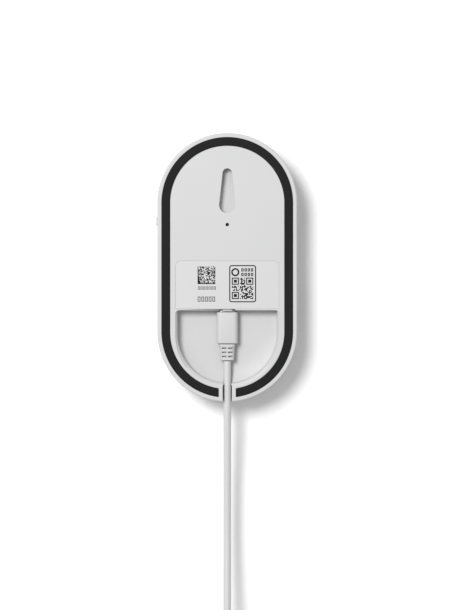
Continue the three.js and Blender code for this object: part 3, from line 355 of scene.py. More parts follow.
biscuit = Finish("white_ceramic_package")
fired = biscuit.noise(2200, 3)
ceramic = biscuit.done(
    Base_Color=biscuit.mix(fired, shade(0.64, (1, 0.99, 0.94)), shade(0.74, (1, 1, 0.97))),
    Roughness=fired * 0.15 + 0.4,
    Normal=biscuit.relief(fired, 0.005),
)
print("plating, circuit board and ceramic")

# %% [markdown]
# ## Foam, mesh and woven tape
# Foam is a heap of small cells, so it takes a cell pattern for its height, and its pits are painted
# darker, as painted shade. Mesh and tape are woven: two sine waves at right angles, one for each
# thread, whose product rises where a thread passes over the other; its low places are painted darker,
# as painted shade.

# %% Foam, mesh and woven tape
sponge = Finish("grey_cell_foam")
bubble_depth_and_shade = sponge.cells(1400)
cell_foam = sponge.done(
    # painted shade: the cells' pits are painted darker than their tops
    Base_Color=sponge.mix(bubble_depth_and_shade, shade(0.035), shade(0.12)),
    Roughness=bubble_depth_and_shade * 0.1 + 0.85,
    Normal=sponge.relief(bubble_depth_and_shade, 0.15),
)


def woven(name, pitch, dark, light, across, along):
    finish = Finish(name)
    split = finish.node("ShaderNodeSeparateXYZ", sockets={0: finish.place})
    sides = {axis: Wire(finish, split.socket.node.outputs[axis]) for axis in "XYZ"}
    turn = 2 * math.pi / (pitch * MM)
    weave_height_and_shade = (sides[across] * turn).sine() * (sides[along] * turn).sine() * 0.5 + 0.5
    fluff = finish.noise(5000, 2)
    height = weave_height_and_shade + fluff * 0.25
    return finish.done(
        # painted shade: the low places between the threads are painted darker than the threads on top
        Base_Color=finish.mix(weave_height_and_shade, shade(dark), shade(light)),
        Roughness=fluff * 0.15 + 0.78,
        Normal=finish.relief(height, pitch / 6),
    )


dust_mesh = woven("woven_dust_mesh", 0.5, 0.02, 0.14, "Y", "Z")
woven_tape = woven("white_woven_tape", 0.7, 0.55, 0.78, "X", "Y")
print("foam, mesh and tape")

# %% [markdown]
# ## Finishes for the inner parts
# Every solid that stays as it is takes the finish of its own slot in the record. A slot is a
# kind of stuff, so that a whole board or all the screws change together.

# %% Finishes by slot
FINISHES = {
    "white_plastic": white_plastic,
    "lead_plastic": lead_plastic,
    "black_rubber": grip_rubber,
    "label_paper": label_film,
    "clear_acrylic": acrylic,
    "circuit_board": circuit_board,
    "black_plastic": black_plastic,
    "grey_plastic": grey_plastic,
    "grey_foam": cell_foam,
    "dust_mesh": dust_mesh,
    "plated_steel": plated_metal,
    "white_ceramic": ceramic,
    "plug_insulator": insulator_plastic,
    "tie_fabric": woven_tape,
}


def dress(piece, material):
    piece.data.materials.clear()
    piece.data.materials.append(material)


for subpart in frame["record"]["subparts"]:
    dress(frame["nodes"][subpart["node"]], FINISHES[subpart["material_slot"]])
dress(lead, lead_plastic)
print(f"{len(FINISHES)} finishes on the inner parts")

# %% [markdown]
# ## Turned and pulled apart
# The housing's outline is two half circles joined by straight sides. Any shell with such an
# outline is a turned dish that was cut across its middle and pulled apart: spin a profile about
# Z, then slide its upper half up and its lower half down. No point may lie on the cut itself, so
# the spin starts half a step round.

# %% Turned shells
HALF_WIDTH = 35
ARC_Y = 32.25
TURN_STEPS = 128


def curve_of(centre, size, start, end, steps=8):
    """Points on an ellipse's arc in a profile, as radius and height."""
    points = []
    for step in range(steps + 1):
        angle = math.radians(start + (end - start) * step / steps)
        points.append((centre[0] + size[0] * math.cos(angle), centre[1] + size[1] * math.sin(angle)))
    return points


def turn(bm, verts, angle, axis):
    bmesh.ops.rotate(bm, verts=verts, cent=(0, 0, 0), matrix=Matrix.Rotation(angle, 3, axis))


def pulled_apart(bm, profile, closed=False):
    half_step = math.pi / TURN_STEPS
    dots = [bm.verts.new((radius / math.cos(half_step), 0, height)) for radius, height in profile]
    pairs = list(zip(dots, dots[1:])) + ([(dots[-1], dots[0])] if closed else [])
    edges = [bm.edges.new(pair) for pair in pairs]
    turn(bm, dots, half_step, "Z")
    bmesh.ops.spin(
        bm, geom=dots + edges, cent=(0, 0, 0), axis=(0, 0, 1), angle=2 * math.pi,
        steps=TURN_STEPS, use_merge=True,
    )
    if not closed:
        rims = [edge for edge in bm.edges if edge.is_boundary]
        bmesh.ops.holes_fill(bm, edges=rims, sides=0)
    upper = [vert for vert in bm.verts if vert.co.y > 0]
    lower = [vert for vert in bm.verts if vert.co.y < 0]
    bmesh.ops.translate(bm, verts=upper, vec=(0, ARC_Y, 0))
    bmesh.ops.translate(bm, verts=lower, vec=(0, -ARC_Y, 0))


def as_piece(name, bm):
    """The finished bmesh, drawn in millimetres, as an object in metres."""
    bmesh.ops.remove_doubles(bm, verts=bm.verts, dist=0.0005)
    bmesh.ops.recalc_face_normals(bm, faces=bm.faces)
    bmesh.ops.scale(bm, verts=bm.verts, vec=(MM, MM, MM))
    mesh = bpy.data.meshes.new(name)
    bm.to_mesh(mesh)
    bm.free()
    piece = bpy.data.objects.new(name, mesh)
    bpy.context.scene.collection.objects.link(piece)
    return piece


def shell(name, profile, closed=False):
    bm = bmesh.new()
    pulled_apart(bm, profile, closed)
    return as_piece(name, bm)


print("one way to turn a shell")

# %% [markdown]
# ## Blocks, rods and slots
# What is cut from a shell, or added to it, is simple: blocks, rods, and slots with round ends.
# A slot is the skin stretched round two discs, which is what Blender calls a convex hull.

# %% Blocks, rods and slots


def span(middle, size):
    return (middle - size / 2, middle + size / 2)


def block(bm, x, y, z):
    size = (x[1] - x[0], y[1] - y[0], z[1] - z[0])
    middle = Vector((x[0] + x[1], y[0] + y[1], z[0] + z[1])) / 2
    made = bmesh.ops.create_cube(bm, size=1)["verts"]
    bmesh.ops.scale(bm, verts=made, vec=size)
    bmesh.ops.translate(bm, verts=made, vec=middle)
    return made


def rod(bm, x, y, radius, low, high, sides=32):
    place = Matrix.Translation((x, y, (low + high) / 2))
    return bmesh.ops.create_cone(
        bm, cap_ends=True, segments=sides, radius1=radius, radius2=radius,
        depth=high - low, matrix=place,
    )["verts"]


def stretched_round(bm, discs, low, high, sides=48):
    """The hull of some discs, each an x, a y and a radius, from one height to another."""
    dots = []
    for x, y, radius in discs:
        for height in (low, high):
            place = Matrix.Translation((x, y, height))
            made = bmesh.ops.create_circle(bm, segments=sides, radius=radius, matrix=place)
            dots += made["verts"]
    hull = bmesh.ops.convex_hull(bm, input=dots)
    spare = [item for item in hull["geom_interior"] if isinstance(item, bmesh.types.BMVert)]
    bmesh.ops.delete(bm, geom=spare, context="VERTS")
    loose = [edge for edge in bm.edges if not edge.link_faces]
    bmesh.ops.delete(bm, geom=loose, context="EDGES")
    bmesh.ops.dissolve_limit(bm, angle_limit=0.001, verts=bm.verts, edges=bm.edges)


ROUND_EDGES = {"affect": "EDGES", "profile": 0.5, "material": -1}
ROUND_CORNERS = {"affect": "VERTICES", "profile": 0.5, "material": -1}


def upright_edges(bm, corners):
    """The edges that stand up from a block's corners."""
    edges = [edge for edge in bm.edges if edge.verts[0] in corners]
    return [edge for edge in edges if abs(edge.verts[0].co.z - edge.verts[1].co.z) > 0.05]


def tool(name, *shapes):
    """A piece made of several shapes that don't touch, each a function and its settings."""
    bm = bmesh.new()
    for shape, *settings in shapes:
        shape(bm, *settings)
    return as_piece(name, bm)


print("blocks, rods and slots")

# %% [markdown]
# ## Cutting and softening
# Boolean modifiers cut one solid out of another. The exact solver keeps flat faces flat, and
# the result is turned into the piece's own mesh at once. Then a narrow bevel rounds every sharp
# edge: no moulded edge is sharp, and the thin line of light along it is what makes a part look real.

# %% Cutting and softening


def settle(piece):
    """Turns a piece's modifiers into its own mesh."""
    bpy.context.view_layer.update()
    seen = piece.evaluated_get(bpy.context.evaluated_depsgraph_get())
    mesh = bpy.data.meshes.new_from_object(seen)
    old = piece.data
    piece.modifiers.clear()
    piece.data = mesh
    bpy.data.meshes.remove(old)


def combine(piece, operation, *tools):
    for each in tools:
        step = piece.modifiers.new(each.name, "BOOLEAN")
        step.operation = operation
        step.solver = "EXACT"
        step.object = each
    settle(piece)
    for each in tools:
        bpy.data.objects.remove(each)


def soften(piece, width, segments=2, least_angle=35):
    """A bevel on the sharp edges. The ceilings with openings are cut up first, so that none closes."""
    bm = bmesh.new()
    bm.from_mesh(piece.data)
    ceilings = [face for face in bm.faces if len(face.verts) > 4 and face.normal.z < -0.5]
    bmesh.ops.triangulate(bm, faces=ceilings)
    bm.to_mesh(piece.data)
    bm.free()
    step = piece.modifiers.new("soft_edges", "BEVEL")
    step.width = width * MM
    step.segments = segments
    step.limit_method = "ANGLE"
    step.angle_limit = math.radians(least_angle)
    step.use_clamp_overlap = False
    flat = piece.modifiers.new("flat_faces", "WEIGHTED_NORMAL")
    flat.keep_sharp = False
    for face in piece.data.polygons:
        face.use_smooth = True
    settle(piece)


def install(piece, material, slot, body, *nodes):
    """Dresses a new piece, puts it on its body, and hides the solids that it stands for."""
    dress(piece, material)
    for face in piece.data.polygons:
        face.use_smooth = True
    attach(piece, body)
    if nodes:
        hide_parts(*nodes)
    print(f"{piece.name}: {len(piece.data.polygons)} faces")


# %% [markdown]
# ## The front shell
# The front shell is a dish, 2 mm thick, with a generous round edge at the front and a thin lip
# inside its rim that the rear shell slips over. One profile gives all of that: up the outside,
# over the lip, and down the inside. Air slots, the button's hole and the light's window are cut.

# %% The front shell
PARTING = 11.5
SLOT_PITCH = 2.4
SLOT_WIDTH = 1.2
SLOT_HEIGHTS = (4.8, 9.8)
# Each row of air slots: its side, its middle and how many there are.
SLOT_ROWS = [(1, 24, 7), (1, -21.25, 8), (-1, -21.25, 8)]
SCREW_POSTS = [(21.726, 53.976), (-21.726, 53.976), (-21.726, -53.976), (21.726, -53.976)]
SENSOR_POSTS = [(-22.3, -32.25), (22.3, -32.25)]
SCREW_POST_RADIUS = 1.9
SENSOR_POST_RADIUS = 2.4
SCREW_HOLE_RADIUS = 1.25
BUTTON = {"y": 23.4, "z": 8.2, "length": 4.4, "height": 3}

front_profile = (
    curve_of((29, 6), (6, 6), -90, 0, 12)
    + [(35, PARTING), (33.9, PARTING), (33.9, 13), (33, 13)]
    + curve_of((30.5, 4.5), (2.5, 2.5), 0, -90, 6)
)
front_shell = shell("front_shell", front_profile)

posts = [(rod, x, y, SCREW_POST_RADIUS, 1.8, 15.9) for x, y in SCREW_POSTS]
posts += [(rod, x, y, SENSOR_POST_RADIUS, 1.8, 9.1) for x, y in SENSOR_POSTS]
combine(front_shell, "UNION", tool("posts", *posts))

slots = []
for side, middle, count in SLOT_ROWS:
    for index in range(count):
        y = middle + (index - (count - 1) / 2) * SLOT_PITCH
        x = sorted((side * 32, side * 36))
        slots.append((block, x, span(y, SLOT_WIDTH), SLOT_HEIGHTS))
holes = [(rod, x, y, SCREW_HOLE_RADIUS, 8, 17) for x, y in SCREW_POSTS]
holes += [(rod, x, y, SCREW_HOLE_RADIUS, 5.4, 10) for x, y in SENSOR_POSTS]
WINDOW_ENDS = [(-7.1, -45.25, 1.05), (7.1, -45.25, 1.05)]
window = (stretched_round, WINDOW_ENDS, -1, 3)
combine(front_shell, "DIFFERENCE", tool("slots", *slots), tool("holes", *holes), tool("window", window))

# %% [markdown]
# ## The button's hole
# The button is an oblong with round ends that goes through the side wall, so its hole is a slot
# that lies on its side. It is made flat like the others and then turned about Y.

# %% The button's hole
KEY_CLEARANCE = 0.2


def sideways(bm, reach, grow):
    """A slot through the side wall, whose section is the button's, made larger all round."""
    radius = BUTTON["height"] / 2 + grow
    half = BUTTON["length"] / 2 - BUTTON["height"] / 2
    discs = [(-BUTTON["z"], BUTTON["y"] - half, radius), (-BUTTON["z"], BUTTON["y"] + half, radius)]
    stretched_round(bm, discs, *reach)
    turn(bm, bm.verts, math.pi / 2, "Y")


combine(front_shell, "DIFFERENCE", tool("button_hole", (sideways, (-36, -32), KEY_CLEARANCE)))
soften(front_shell, 0.14)
install(front_shell, white_plastic, "white_plastic", "housing", "front_cover")

# %% [markdown]
# ## The rear shell
# The rear shell carries everything that can be seen from behind. It starts as a turned lid with
# its small rounded edge. The tub under the plug, the pocket behind the keyhole and the channel for
# the lead are added on the inside as plain lumps, and then the visible hollows are cut.

# %% The rear shell
GROOVE = (2.1, 6.45)
BRIDGE_WIDTH = 8.55
RING_CLEARANCE = 0.15
ABOVE_BACK = 22
RECESS_TOP = -21.45
RECESS_HALF = 26
RECESS_FLOOR = 13.8
RECESS_ARC_Y = -34.3
RECESS_CORNER = 2.1
KEYHOLE = {"low": 31.2, "high": 47.2, "wide": 4.05, "narrow": 2.3, "head": 4.6}
BOARD_POSTS = [(14.11, 52.4), (-14.11, 52.4), (-24.6, -1.95), (24.6, -1.95)]
PINHOLE = (0, 21.4)

rear_profile = (
    [(27.05, 19.2), (27.05, 17.9), (33, 17.9), (33, 13.3), (34.1, 13.3), (34.1, 11.8), (35, 11.8)]
    + curve_of((34.3, 20.3), (0.7, 0.7), 0, 90, 6)
)
rear_shell = shell("rear_shell", rear_profile)


def recess_plate(bm, grow, low, high):
    """The recess's outline: a plate with two small corners above and two large ones below."""
    half = RECESS_HALF + grow
    top = RECESS_TOP + (grow if low < RECESS_FLOOR - 1 else 0)
    bottom = RECESS_ARC_Y - half
    corners = block(bm, (-half, half), (bottom, top), (low, high))
    upright = upright_edges(bm, corners)
    small = [edge for edge in upright if edge.verts[0].co.y > RECESS_ARC_Y]
    large = [edge for edge in upright if edge.verts[0].co.y < RECESS_ARC_Y]
    bmesh.ops.bevel(bm, geom=small, offset=RECESS_CORNER + grow, segments=10, **ROUND_EDGES)
    bmesh.ops.bevel(bm, geom=large, offset=half - 0.02, segments=64, **ROUND_EDGES)


keyhole_low, keyhole_high = KEYHOLE["low"], KEYHOLE["high"]
pocket = [(0, keyhole_low, 6.1), (0, keyhole_high, 6.1)]
lumps = [(rod, x, y, 2.9, 16.2, 19.3) for x, y in SCREW_POSTS]
lumps += [(rod, x, y, 2.3, 15.3, 19.5) for x, y in BOARD_POSTS]
lumps.append((rod, *PINHOLE, 2.05, 18.5, 19.6))
combine(
    rear_shell, "UNION",
    tool("tub", (recess_plate, 1.5, 12.3, 19.6)),
    tool("keyhole_pocket", (stretched_round, pocket, 14.9, 19.6)),
    tool("channel_lump", (block, span(0, 7.3), (-66.2, -34), (13.3, 19.8))),
    tool("lumps", *lumps),
)

# %% [markdown]
# ## What is cut into the back
# The groove for the rubber ring is a turned band, left out where the lead crosses. The recess has
# a floor that sweeps up into its side and lower walls like a scoop, a rim that slopes gently down
# to those walls, and an upright wall at its top. So its cutter is the plate above where it meets a
# turned dish.

# %% What is cut into the back


def band(name, outer, inner, low, high, gap):
    corners = [(outer, low), (outer, high), (inner, high), (inner, low)]
    ring = shell(name, corners, closed=True)
    bridge = tool("bridge", (block, span(0, gap), (-70, 0), (low - 1, high + 1)))
    combine(ring, "DIFFERENCE", bridge)
    return ring


LABEL_HALF = 25.75
LABEL_ENDS = (-20.65, 3.15)
LABEL_CORNER = 2.5
LABEL_LEVELS = (20.8, 20.9)
RIM_FOOT = 19.8
WALL_RADIUS = 25
DISH_LEAN = 1.15
CHANNEL_FLOOR = 14.8
RAMP_START = 16
RAMP_RISE = 2.2


def label_plate(bm, grow, z):
    """The label's outline, which has two round corners at its top."""
    low, high = LABEL_ENDS
    half = LABEL_HALF + grow
    corners = block(bm, (-half, half), (low - grow, high + grow), z)
    upper = [edge for edge in upright_edges(bm, corners) if edge.verts[0].co.y > 0]
    bmesh.ops.bevel(bm, geom=upper, offset=LABEL_CORNER + grow, segments=10, **ROUND_EDGES)


scoop_profile = [(radius, RECESS_FLOOR) for radius in (4, 8, 11, 14, 17, 20, 22)]
scoop_profile += curve_of((WALL_RADIUS - 0.8, 14.6), (0.8, 0.8), -90, 0, 8)
scoop_profile += [(WALL_RADIUS, RIM_FOOT), (26.05, 21.04), (26.05, 24)]


def recess_dish(bm):
    """The hollow, whose round lower end leans towards the rim from the foot of its slope up."""
    pulled_apart(bm, scoop_profile)
    for vert in bm.verts:
        if vert.co.y < 0:
            lean = min(1, max(0, (vert.co.z - RIM_FOOT) / (BACK_LEVEL - RIM_FOOT)))
            vert.co.y += RECESS_ARC_Y + ARC_Y + DISH_LEAN * (1 - lean)
            reach = Vector((vert.co.x, RECESS_ARC_Y + DISH_LEAN - vert.co.y)).length
            if vert.co.z < RIM_FOOT - 1 and reach > RAMP_START:
                way = (reach - RAMP_START) / (WALL_RADIUS - RAMP_START)
                down = max(0, RECESS_ARC_Y + DISH_LEAN - vert.co.y) / reach
                vert.co.z += RAMP_RISE * down * way ** 2


recess = tool("recess", (recess_plate, 0.06, RECESS_FLOOR - 1, ABOVE_BACK))
combine(recess, "INTERSECT", tool("dish", (recess_dish,)))

mouth = [(0, keyhole_low, KEYHOLE["wide"]), (0, keyhole_high, KEYHOLE["narrow"])]
room = [(0, keyhole_low, KEYHOLE["head"]), (0, keyhole_high, KEYHOLE["head"])]
screw_holes = [(rod, x, y, SCREW_HOLE_RADIUS, 15, 20) for x, y in SCREW_POSTS]
head_seats = [(rod, x, y, 2.1, 17.85, 20) for x, y in SCREW_POSTS]
combine(
    rear_shell, "DIFFERENCE",
    band("groove", HALF_WIDTH - GROOVE[0], HALF_WIDTH - GROOVE[1], 19.4, ABOVE_BACK, BRIDGE_WIDTH),
    recess,
    tool("keyhole_room", (stretched_round, room, 16.4, 19.4)),
    tool("keyhole_mouth", (stretched_round, mouth, 17, ABOVE_BACK)),
    tool("channel", (block, span(0, 3.86), (-60, -45), (CHANNEL_FLOOR, ABOVE_BACK))),
    tool("channel_mouth", (block, span(0, 4.6), (-69, -59), (CHANNEL_FLOOR, ABOVE_BACK))),
    tool("pinhole", (rod, *PINHOLE, 0.85, 17, ABOVE_BACK, 40)),
    tool("screw_holes", *screw_holes),
    tool("head_seats", *head_seats),
    tool("label_pocket", (label_plate, 0.15, (LABEL_LEVELS[0] - 0.02, ABOVE_BACK))),
    tool("post_room", *[(rod, x, y, 2.1, 11, 16.1) for x, y in SCREW_POSTS]),
)

# %% [markdown]
# ## The port
# The socket's opening goes through the recess's upright wall. It is a slot that lies along Y. A
# shallow notch above it leaves a small tab in the middle, which keeps the plug from riding up.

# %% The port
PLUG_Z = 17


def port_hole(bm):
    discs = [(-3, -PLUG_Z, 1.9), (3, -PLUG_Z, 1.9)]
    stretched_round(bm, discs, RECESS_TOP - 1, RECESS_TOP + 2.5)
    turn(bm, bm.verts, -math.pi / 2, "X")


notch_y = (RECESS_TOP - 1, RECESS_TOP + 0.4)
combine(
    rear_shell, "DIFFERENCE",
    tool("port", (port_hole,)),
    tool("notch", (block, span(0, 7.8), notch_y, (PLUG_Z, ABOVE_BACK))),
)
tab_y = (RECESS_TOP - 0.35, RECESS_TOP + 0.6)
combine(rear_shell, "UNION", tool("tab", (block, span(0, 4.9), tab_y, (20.2, 20.99))))
soften(rear_shell, 0.16)
install(rear_shell, white_plastic, "white_plastic", "housing", "rear_cover")

# %% [markdown]
# ## The grip ring
# The ring is one turned band of rubber with rounded upper edges, cut through where the lead
# passes. It stands a quarter of a millimetre proud of the plastic, so that it alone touches the wall.

# %% The grip ring
ring_outer = HALF_WIDTH - GROOVE[0] - RING_CLEARANCE
ring_inner = HALF_WIDTH - GROOVE[1] + RING_CLEARANCE
ring_gap = BRIDGE_WIDTH + 2 * RING_CLEARANCE
grip_ring = band("rubber_ring", ring_outer, ring_inner, 19.5, BACK_LEVEL + 0.25, ring_gap)
soften(grip_ring, 0.35, 4)
install(grip_ring, grip_rubber, "black_rubber", "housing", "grip_ring")

# %% [markdown]
# ## The side key
# The key is an oblong cap with a soft edge. Behind it a flange keeps it in the wall.

# %% The side key
KEY_PROUD = 0.9
FLANGE = (-32.7, -31.9)
FLANGE_BORDER = 1.1
side_key = tool("side_key", (sideways, (-HALF_WIDTH - KEY_PROUD, FLANGE[1]), 0))
combine(side_key, "UNION", tool("flange", (sideways, FLANGE, FLANGE_BORDER)))
soften(side_key, 0.35, 4)
install(side_key, white_plastic, "white_plastic", "side_button", "side_button")

# %% [markdown]
# ## The plug
# The plug's grip is an oblong moulding: first its four long edges are rounded, then the edges of
# its two ends. `bmesh.ops.bevel` takes the edges by their direction.

# %% The plug


def rounded_bar(name, x, y, z, axis, side_radius, end_radius):
    """A bar with rounded long edges, along one axis, and softer ends."""
    bm = bmesh.new()
    block(bm, x, y, z)
    way = [edge for edge in bm.edges if abs((edge.verts[0].co - edge.verts[1].co)[axis]) > 1]
    bmesh.ops.bevel(bm, geom=way, offset=side_radius, segments=8, **ROUND_EDGES)
    rims = []
    for edge in bm.edges:
        first, second = (vert.co[axis] for vert in edge.verts)
        if abs(first - second) < 0.001 and min(abs(first - end) for end in (x, y, z)[axis]) < 0.001:
            rims.append(edge)
    bmesh.ops.bevel(bm, geom=rims, offset=end_radius, segments=5, **ROUND_EDGES)
    return as_piece(name, bm)


PLUG = (-38.15, -22.35)
plug_grip = rounded_bar("plug_grip", span(0, 10.7), PLUG, span(PLUG_Z, 5.6), 1, 2.1, 0.6)
install(plug_grip, plug_plastic, "lead_plastic", "supply_lead", "plug_body")

# %% [markdown]
# ## The strain relief
# The relief is a softer bar that narrows away from the plug. Three rows of slots in pairs,
# above and below a spine, let it bend with the lead.

# %% The strain relief
RELIEF = (-46.55, -38.45)
RELIEF_PITCH = 2.07
RELIEF_TAPER = 0.08
SPINE_HALF = 0.4
relief = rounded_bar("plug_relief", span(0, 7.6), RELIEF, span(PLUG_Z, 5), 1, 1.9, 0.4)
relief_slots = []
for row in range(3):
    y = RELIEF[1] - 2 - RELIEF_PITCH * row
    for side in (-1, 1):
        for level in (-1, 1):
            x = sorted((side * 0.45, side * 2.8))
            z = sorted((PLUG_Z + level * SPINE_HALF, PLUG_Z + level * 4))
            relief_slots.append((block, x, span(y, 0.76), z))
combine(relief, "DIFFERENCE", tool("relief_slots", *relief_slots))
for vert in relief.data.vertices:
    share = (RELIEF[1] - vert.co.y / MM) / (RELIEF[1] - RELIEF[0])
    narrow = 1 - RELIEF_TAPER * share
    vert.co.x *= narrow
    vert.co.z = (PLUG_Z + (vert.co.z / MM - PLUG_Z) * narrow) * MM
collar_y = (RELIEF[1] - 1.3, RELIEF[1])
collar = rounded_bar("relief_collar", span(0, 8.2), collar_y, span(PLUG_Z, 5.2), 1, 1.9, 0.5)
combine(relief, "UNION", collar)
soften(relief, 0.1)
install(relief, plug_plastic, "lead_plastic", "supply_lead", "plug_strain_relief")

# %% [markdown]
# ## The far plug
# The lead's other end has the larger plug that fits a charger. Its grip and its short neck are
# the same kind of rounded bar, along X.

# %% The far plug
FAR_Y = -186.15
FAR_Z = 3.55
far_y, far_z = span(FAR_Y, 14.6), span(FAR_Z, 7)
far_grip = rounded_bar("far_plug_grip", (-40.45, -21.45), far_y, far_z, 0, 2, 0.8)
install(far_grip, plug_plastic, "lead_plastic", "supply_lead", "charger_plug_body")
neck_y, neck_z = span(FAR_Y, 6.4), span(FAR_Z, 5.4)
far_neck = rounded_bar("far_plug_neck", (-21.15, -14.15), neck_y, neck_z, 0, 2.3, 0.5)
install(far_neck, plug_plastic, "lead_plastic", "supply_lead", "charger_relief")

# %% [markdown]
# ## The tie
# A tie that is pulled tight follows the outermost turns, so its line is the hull of their round
# sections. The hull is made solid, its two open sides are taken off, and the band gets its thickness.

# %% The tie
TIE_HALF = 4.5
TIE_THICKNESS = 0.5
# The turns where the tie holds them: their distance from the coil's middle and their height.
TIED_TURNS = [
    (16.15, 16.17), (16.15, 4.62), (20, 3.47), (22.57, 14.25), (23.85, 10.78), (23.85, 3.08),
]


def tie_band(bm):
    discs = []
    for distance, height in TIED_TURNS:
        for reach in (distance, math.sqrt(distance ** 2 - TIE_HALF ** 2)):
            discs.append((COIL_CENTRE[0] + reach, height, LEAD_DIAMETER / 2 + 0.1))
    stretched_round(bm, discs, -TIE_HALF, TIE_HALF, 24)
    flat = [face for face in bm.faces if abs(face.normal.z) > 0.9]
    bmesh.ops.delete(bm, geom=flat, context="FACES")
    turn(bm, bm.verts, math.pi / 2, "X")
    bmesh.ops.translate(bm, verts=bm.verts, vec=(0, COIL_CENTRE[1], 0))
    bmesh.ops.recalc_face_normals(bm, faces=bm.faces)
    bmesh.ops.solidify(bm, geom=bm.faces, thickness=-TIE_THICKNESS)


coil_tie = tool("woven_tie", (tie_band,))
soften(coil_tie, 0.12)
install(coil_tie, woven_tape, "tie_fabric", "supply_lead", "coil_tie")

# %% [markdown]
# ## The label
# The label is a thin film with two round corners at its top, in the shallow pocket that keeps its
# edges from being picked at. It is made thicker than a real one, a tenth of a millimetre, so that
# its edge still catches a line of light.

# %% The label
label = tool("film_label", (label_plate, 0, LABEL_LEVELS))
soften(label, 0.03)
install(label, label_film, "label_paper", "housing", "label")

# %% [markdown]
# ## The print
# The print says nothing: the two square codes are tiles that a seeded generator turned dark or
# left light, and small empty boxes stand where words would be. A grid makes the tiles, and each is
# inset by a hair so that tiles which meet at a corner stay separate.

# %% The print
INK_LEVEL = 20.902
INK_THICKNESS = 0.015


def tiles(bm, left, bottom, size, count, is_dark):
    place = Matrix.Translation((left + size / 2, bottom + size / 2, INK_LEVEL))
    grid = bmesh.ops.create_grid(bm, x_segments=count, y_segments=count, size=size / 2, matrix=place)
    step = size / count
    light, dark = [], []
    for face in {face for vert in grid["verts"] for face in vert.link_faces}:
        middle = face.calc_center_median()
        column, row = int((middle.x - left) / step), int((middle.y - bottom) / step)
        (dark if is_dark(column, row) else light).append(face)
    bmesh.ops.delete(bm, geom=light, context="FACES")
    rims = bmesh.ops.inset_individual(bm, faces=dark, thickness=0.004)["faces"]
    bmesh.ops.delete(bm, geom=rims, context="FACES")


def seeded(seed, count, fixed):
    """A rule for a square of tiles: fixed places first, and chance for the rest."""
    chance = random.Random(seed)
    drawn = [[chance.random() < 0.54 for _ in range(count)] for _ in range(count)]

    def is_dark(column, row):
        told = fixed(column, row)
        return drawn[column][row] if told is None else told

    return is_dark


def solid_edges(column, row):
    return True if column == 0 or row == 0 else None


def corner_squares(column, row):
    """Nested squares in three corners, each seven tiles wide, with a light rim."""
    for left, low in ((0, 0), (0, 14), (14, 14)):
        ring = max(abs(column - left - 3), abs(row - low - 3))
        if ring <= 4:
            return ring in (0, 1, 3)
    return None


def hollow_out(bm, plate, stroke):
    """Leaves only a stroke along the edge of a plate."""
    bmesh.ops.inset_region(
        bm, faces=plate, thickness=stroke, use_boundary=True, use_even_offset=True
    )
    bmesh.ops.delete(bm, geom=plate, context="FACES")


def frame_box_print(bm, left, bottom, width, height, stroke, radius=0):
    """A hollow box: a plate with its middle inset and taken out."""
    centre = Vector((left + width / 2, bottom + height / 2, INK_LEVEL))
    place = Matrix.Translation(centre)
    made = bmesh.ops.create_grid(bm, x_segments=1, y_segments=1, size=0.5, matrix=place)["verts"]
    bmesh.ops.scale(bm, verts=made, vec=(width, height, 1), space=Matrix.Translation(-centre))
    if radius:
        bmesh.ops.bevel(bm, geom=made, offset=radius, segments=8, **ROUND_CORNERS)
    plate = [face for face in bm.faces if (face.calc_center_median() - centre).length < 0.01]
    hollow_out(bm, plate, stroke)


def thicken_print(bm):
    raised = bmesh.ops.extrude_face_region(bm, geom=bm.faces[:], use_keep_orig=True)["geom"]
    tops = [item for item in raised if isinstance(item, bmesh.types.BMVert)]
    bmesh.ops.translate(bm, verts=tops, vec=(0, 0, INK_THICKNESS))


def round_mark(bm):
    place = Matrix.Translation((4, -2.4, INK_LEVEL))
    disc = bmesh.ops.create_circle(bm, cap_ends=True, segments=40, radius=2.05, matrix=place)["verts"]
    middle = [face for face in disc[0].link_faces if len(face.verts) == len(disc)]
    hollow_out(bm, middle, 0.8)


number_boxes = [
    (frame_box_print, 7 + 1.6 * column, bottom, 1.15, 1.6, 0.42)
    for column in range(4)
    for bottom in (-2.05, -4.35)
]
label_print = tool(
    "label_print",
    (tiles, -14.85, -8.35, 8.85, 20, seeded(11, 20, solid_edges)),
    (tiles, 2.25, -15.85, 10.75, 21, seeded(5, 21, corner_squares)),
    (frame_box_print, 0.95, -17.45, 13.45, 18.6, 0.55, 1.25),
    *number_boxes,
    (round_mark,),
    (thicken_print,),
)
install(label_print, label_ink, "label_paper", "housing")

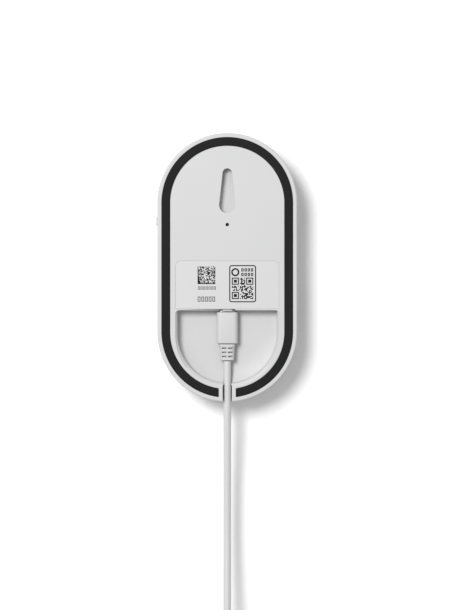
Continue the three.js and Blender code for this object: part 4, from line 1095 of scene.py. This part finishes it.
line_boxes = [(frame_box_print, -14.7 + 1.33 * column, -11.1, 0.98, 1.6, 0.27) for column in range(7)]
line_boxes += [(frame_box_print, -14.8 + 1.83 * column, -17.1, 1.35, 2.5, 0.36) for column in range(5)]
label_lines = tool("label_lines", *line_boxes, (thicken_print,))
install(label_lines, faded_ink, "label_paper", "housing")

# %% [markdown]
# ## The floor
# The monitor lies on a plain white sheet, a grid of a few large faces. Its finish is dull and a
# little grainy, so that the light makes no bright spot on it.

# %% The floor
FLOOR_HALF = 2500
paper = Finish("white_studio_paper")
paper_grain = paper.noise(900, 2)
floor_paper = paper.done(
    Base_Color=paper.mix(paper.noise(4), shade(0.97), shade(0.985)),
    Roughness=paper_grain * 0.1 + 0.8,
)
floor_mesh = bmesh.new()
bmesh.ops.create_grid(floor_mesh, x_segments=4, y_segments=4, size=FLOOR_HALF)
floor = as_piece("studio_floor", floor_mesh)
dress(floor, floor_paper)

# %% [markdown]
# ## The light
# A large soft light stands high up at the upper left, as a window would, and the room around is
# bright. The large light gives a shadow that is dark at the monitor's lower right edge and fades
# away within two centimetres.

# %% The light
bpy.context.scene.view_settings.view_transform = "Standard"


def soft_light(name, azimuth, elevation, distance, size, watts):
    data = bpy.data.lights.new(name, "AREA")
    data.shape = "DISK"
    data.size = size
    data.energy = watts
    lamp = bpy.data.objects.new(name, data)
    level = math.cos(math.radians(elevation))
    way = Vector((
        level * math.cos(math.radians(azimuth)),
        level * math.sin(math.radians(azimuth)),
        math.sin(math.radians(elevation)),
    ))
    lamp.location = way * distance
    lamp.rotation_euler = way.to_track_quat("Z", "Y").to_euler()
    bpy.context.scene.collection.objects.link(lamp)


soft_light("window_light", 140.5, 64, 1.6, 0.62, 20.2)
room = bpy.data.worlds.new("bright_room")
room.use_nodes = True
room.node_tree.nodes["Background"].inputs["Color"].default_value = (1, 1, 1, 1)
room.node_tree.nodes["Background"].inputs["Strength"].default_value = 0.475
bpy.context.scene.world = room
print(f"a window and a bright room, with {len(bpy.data.lights)} light")
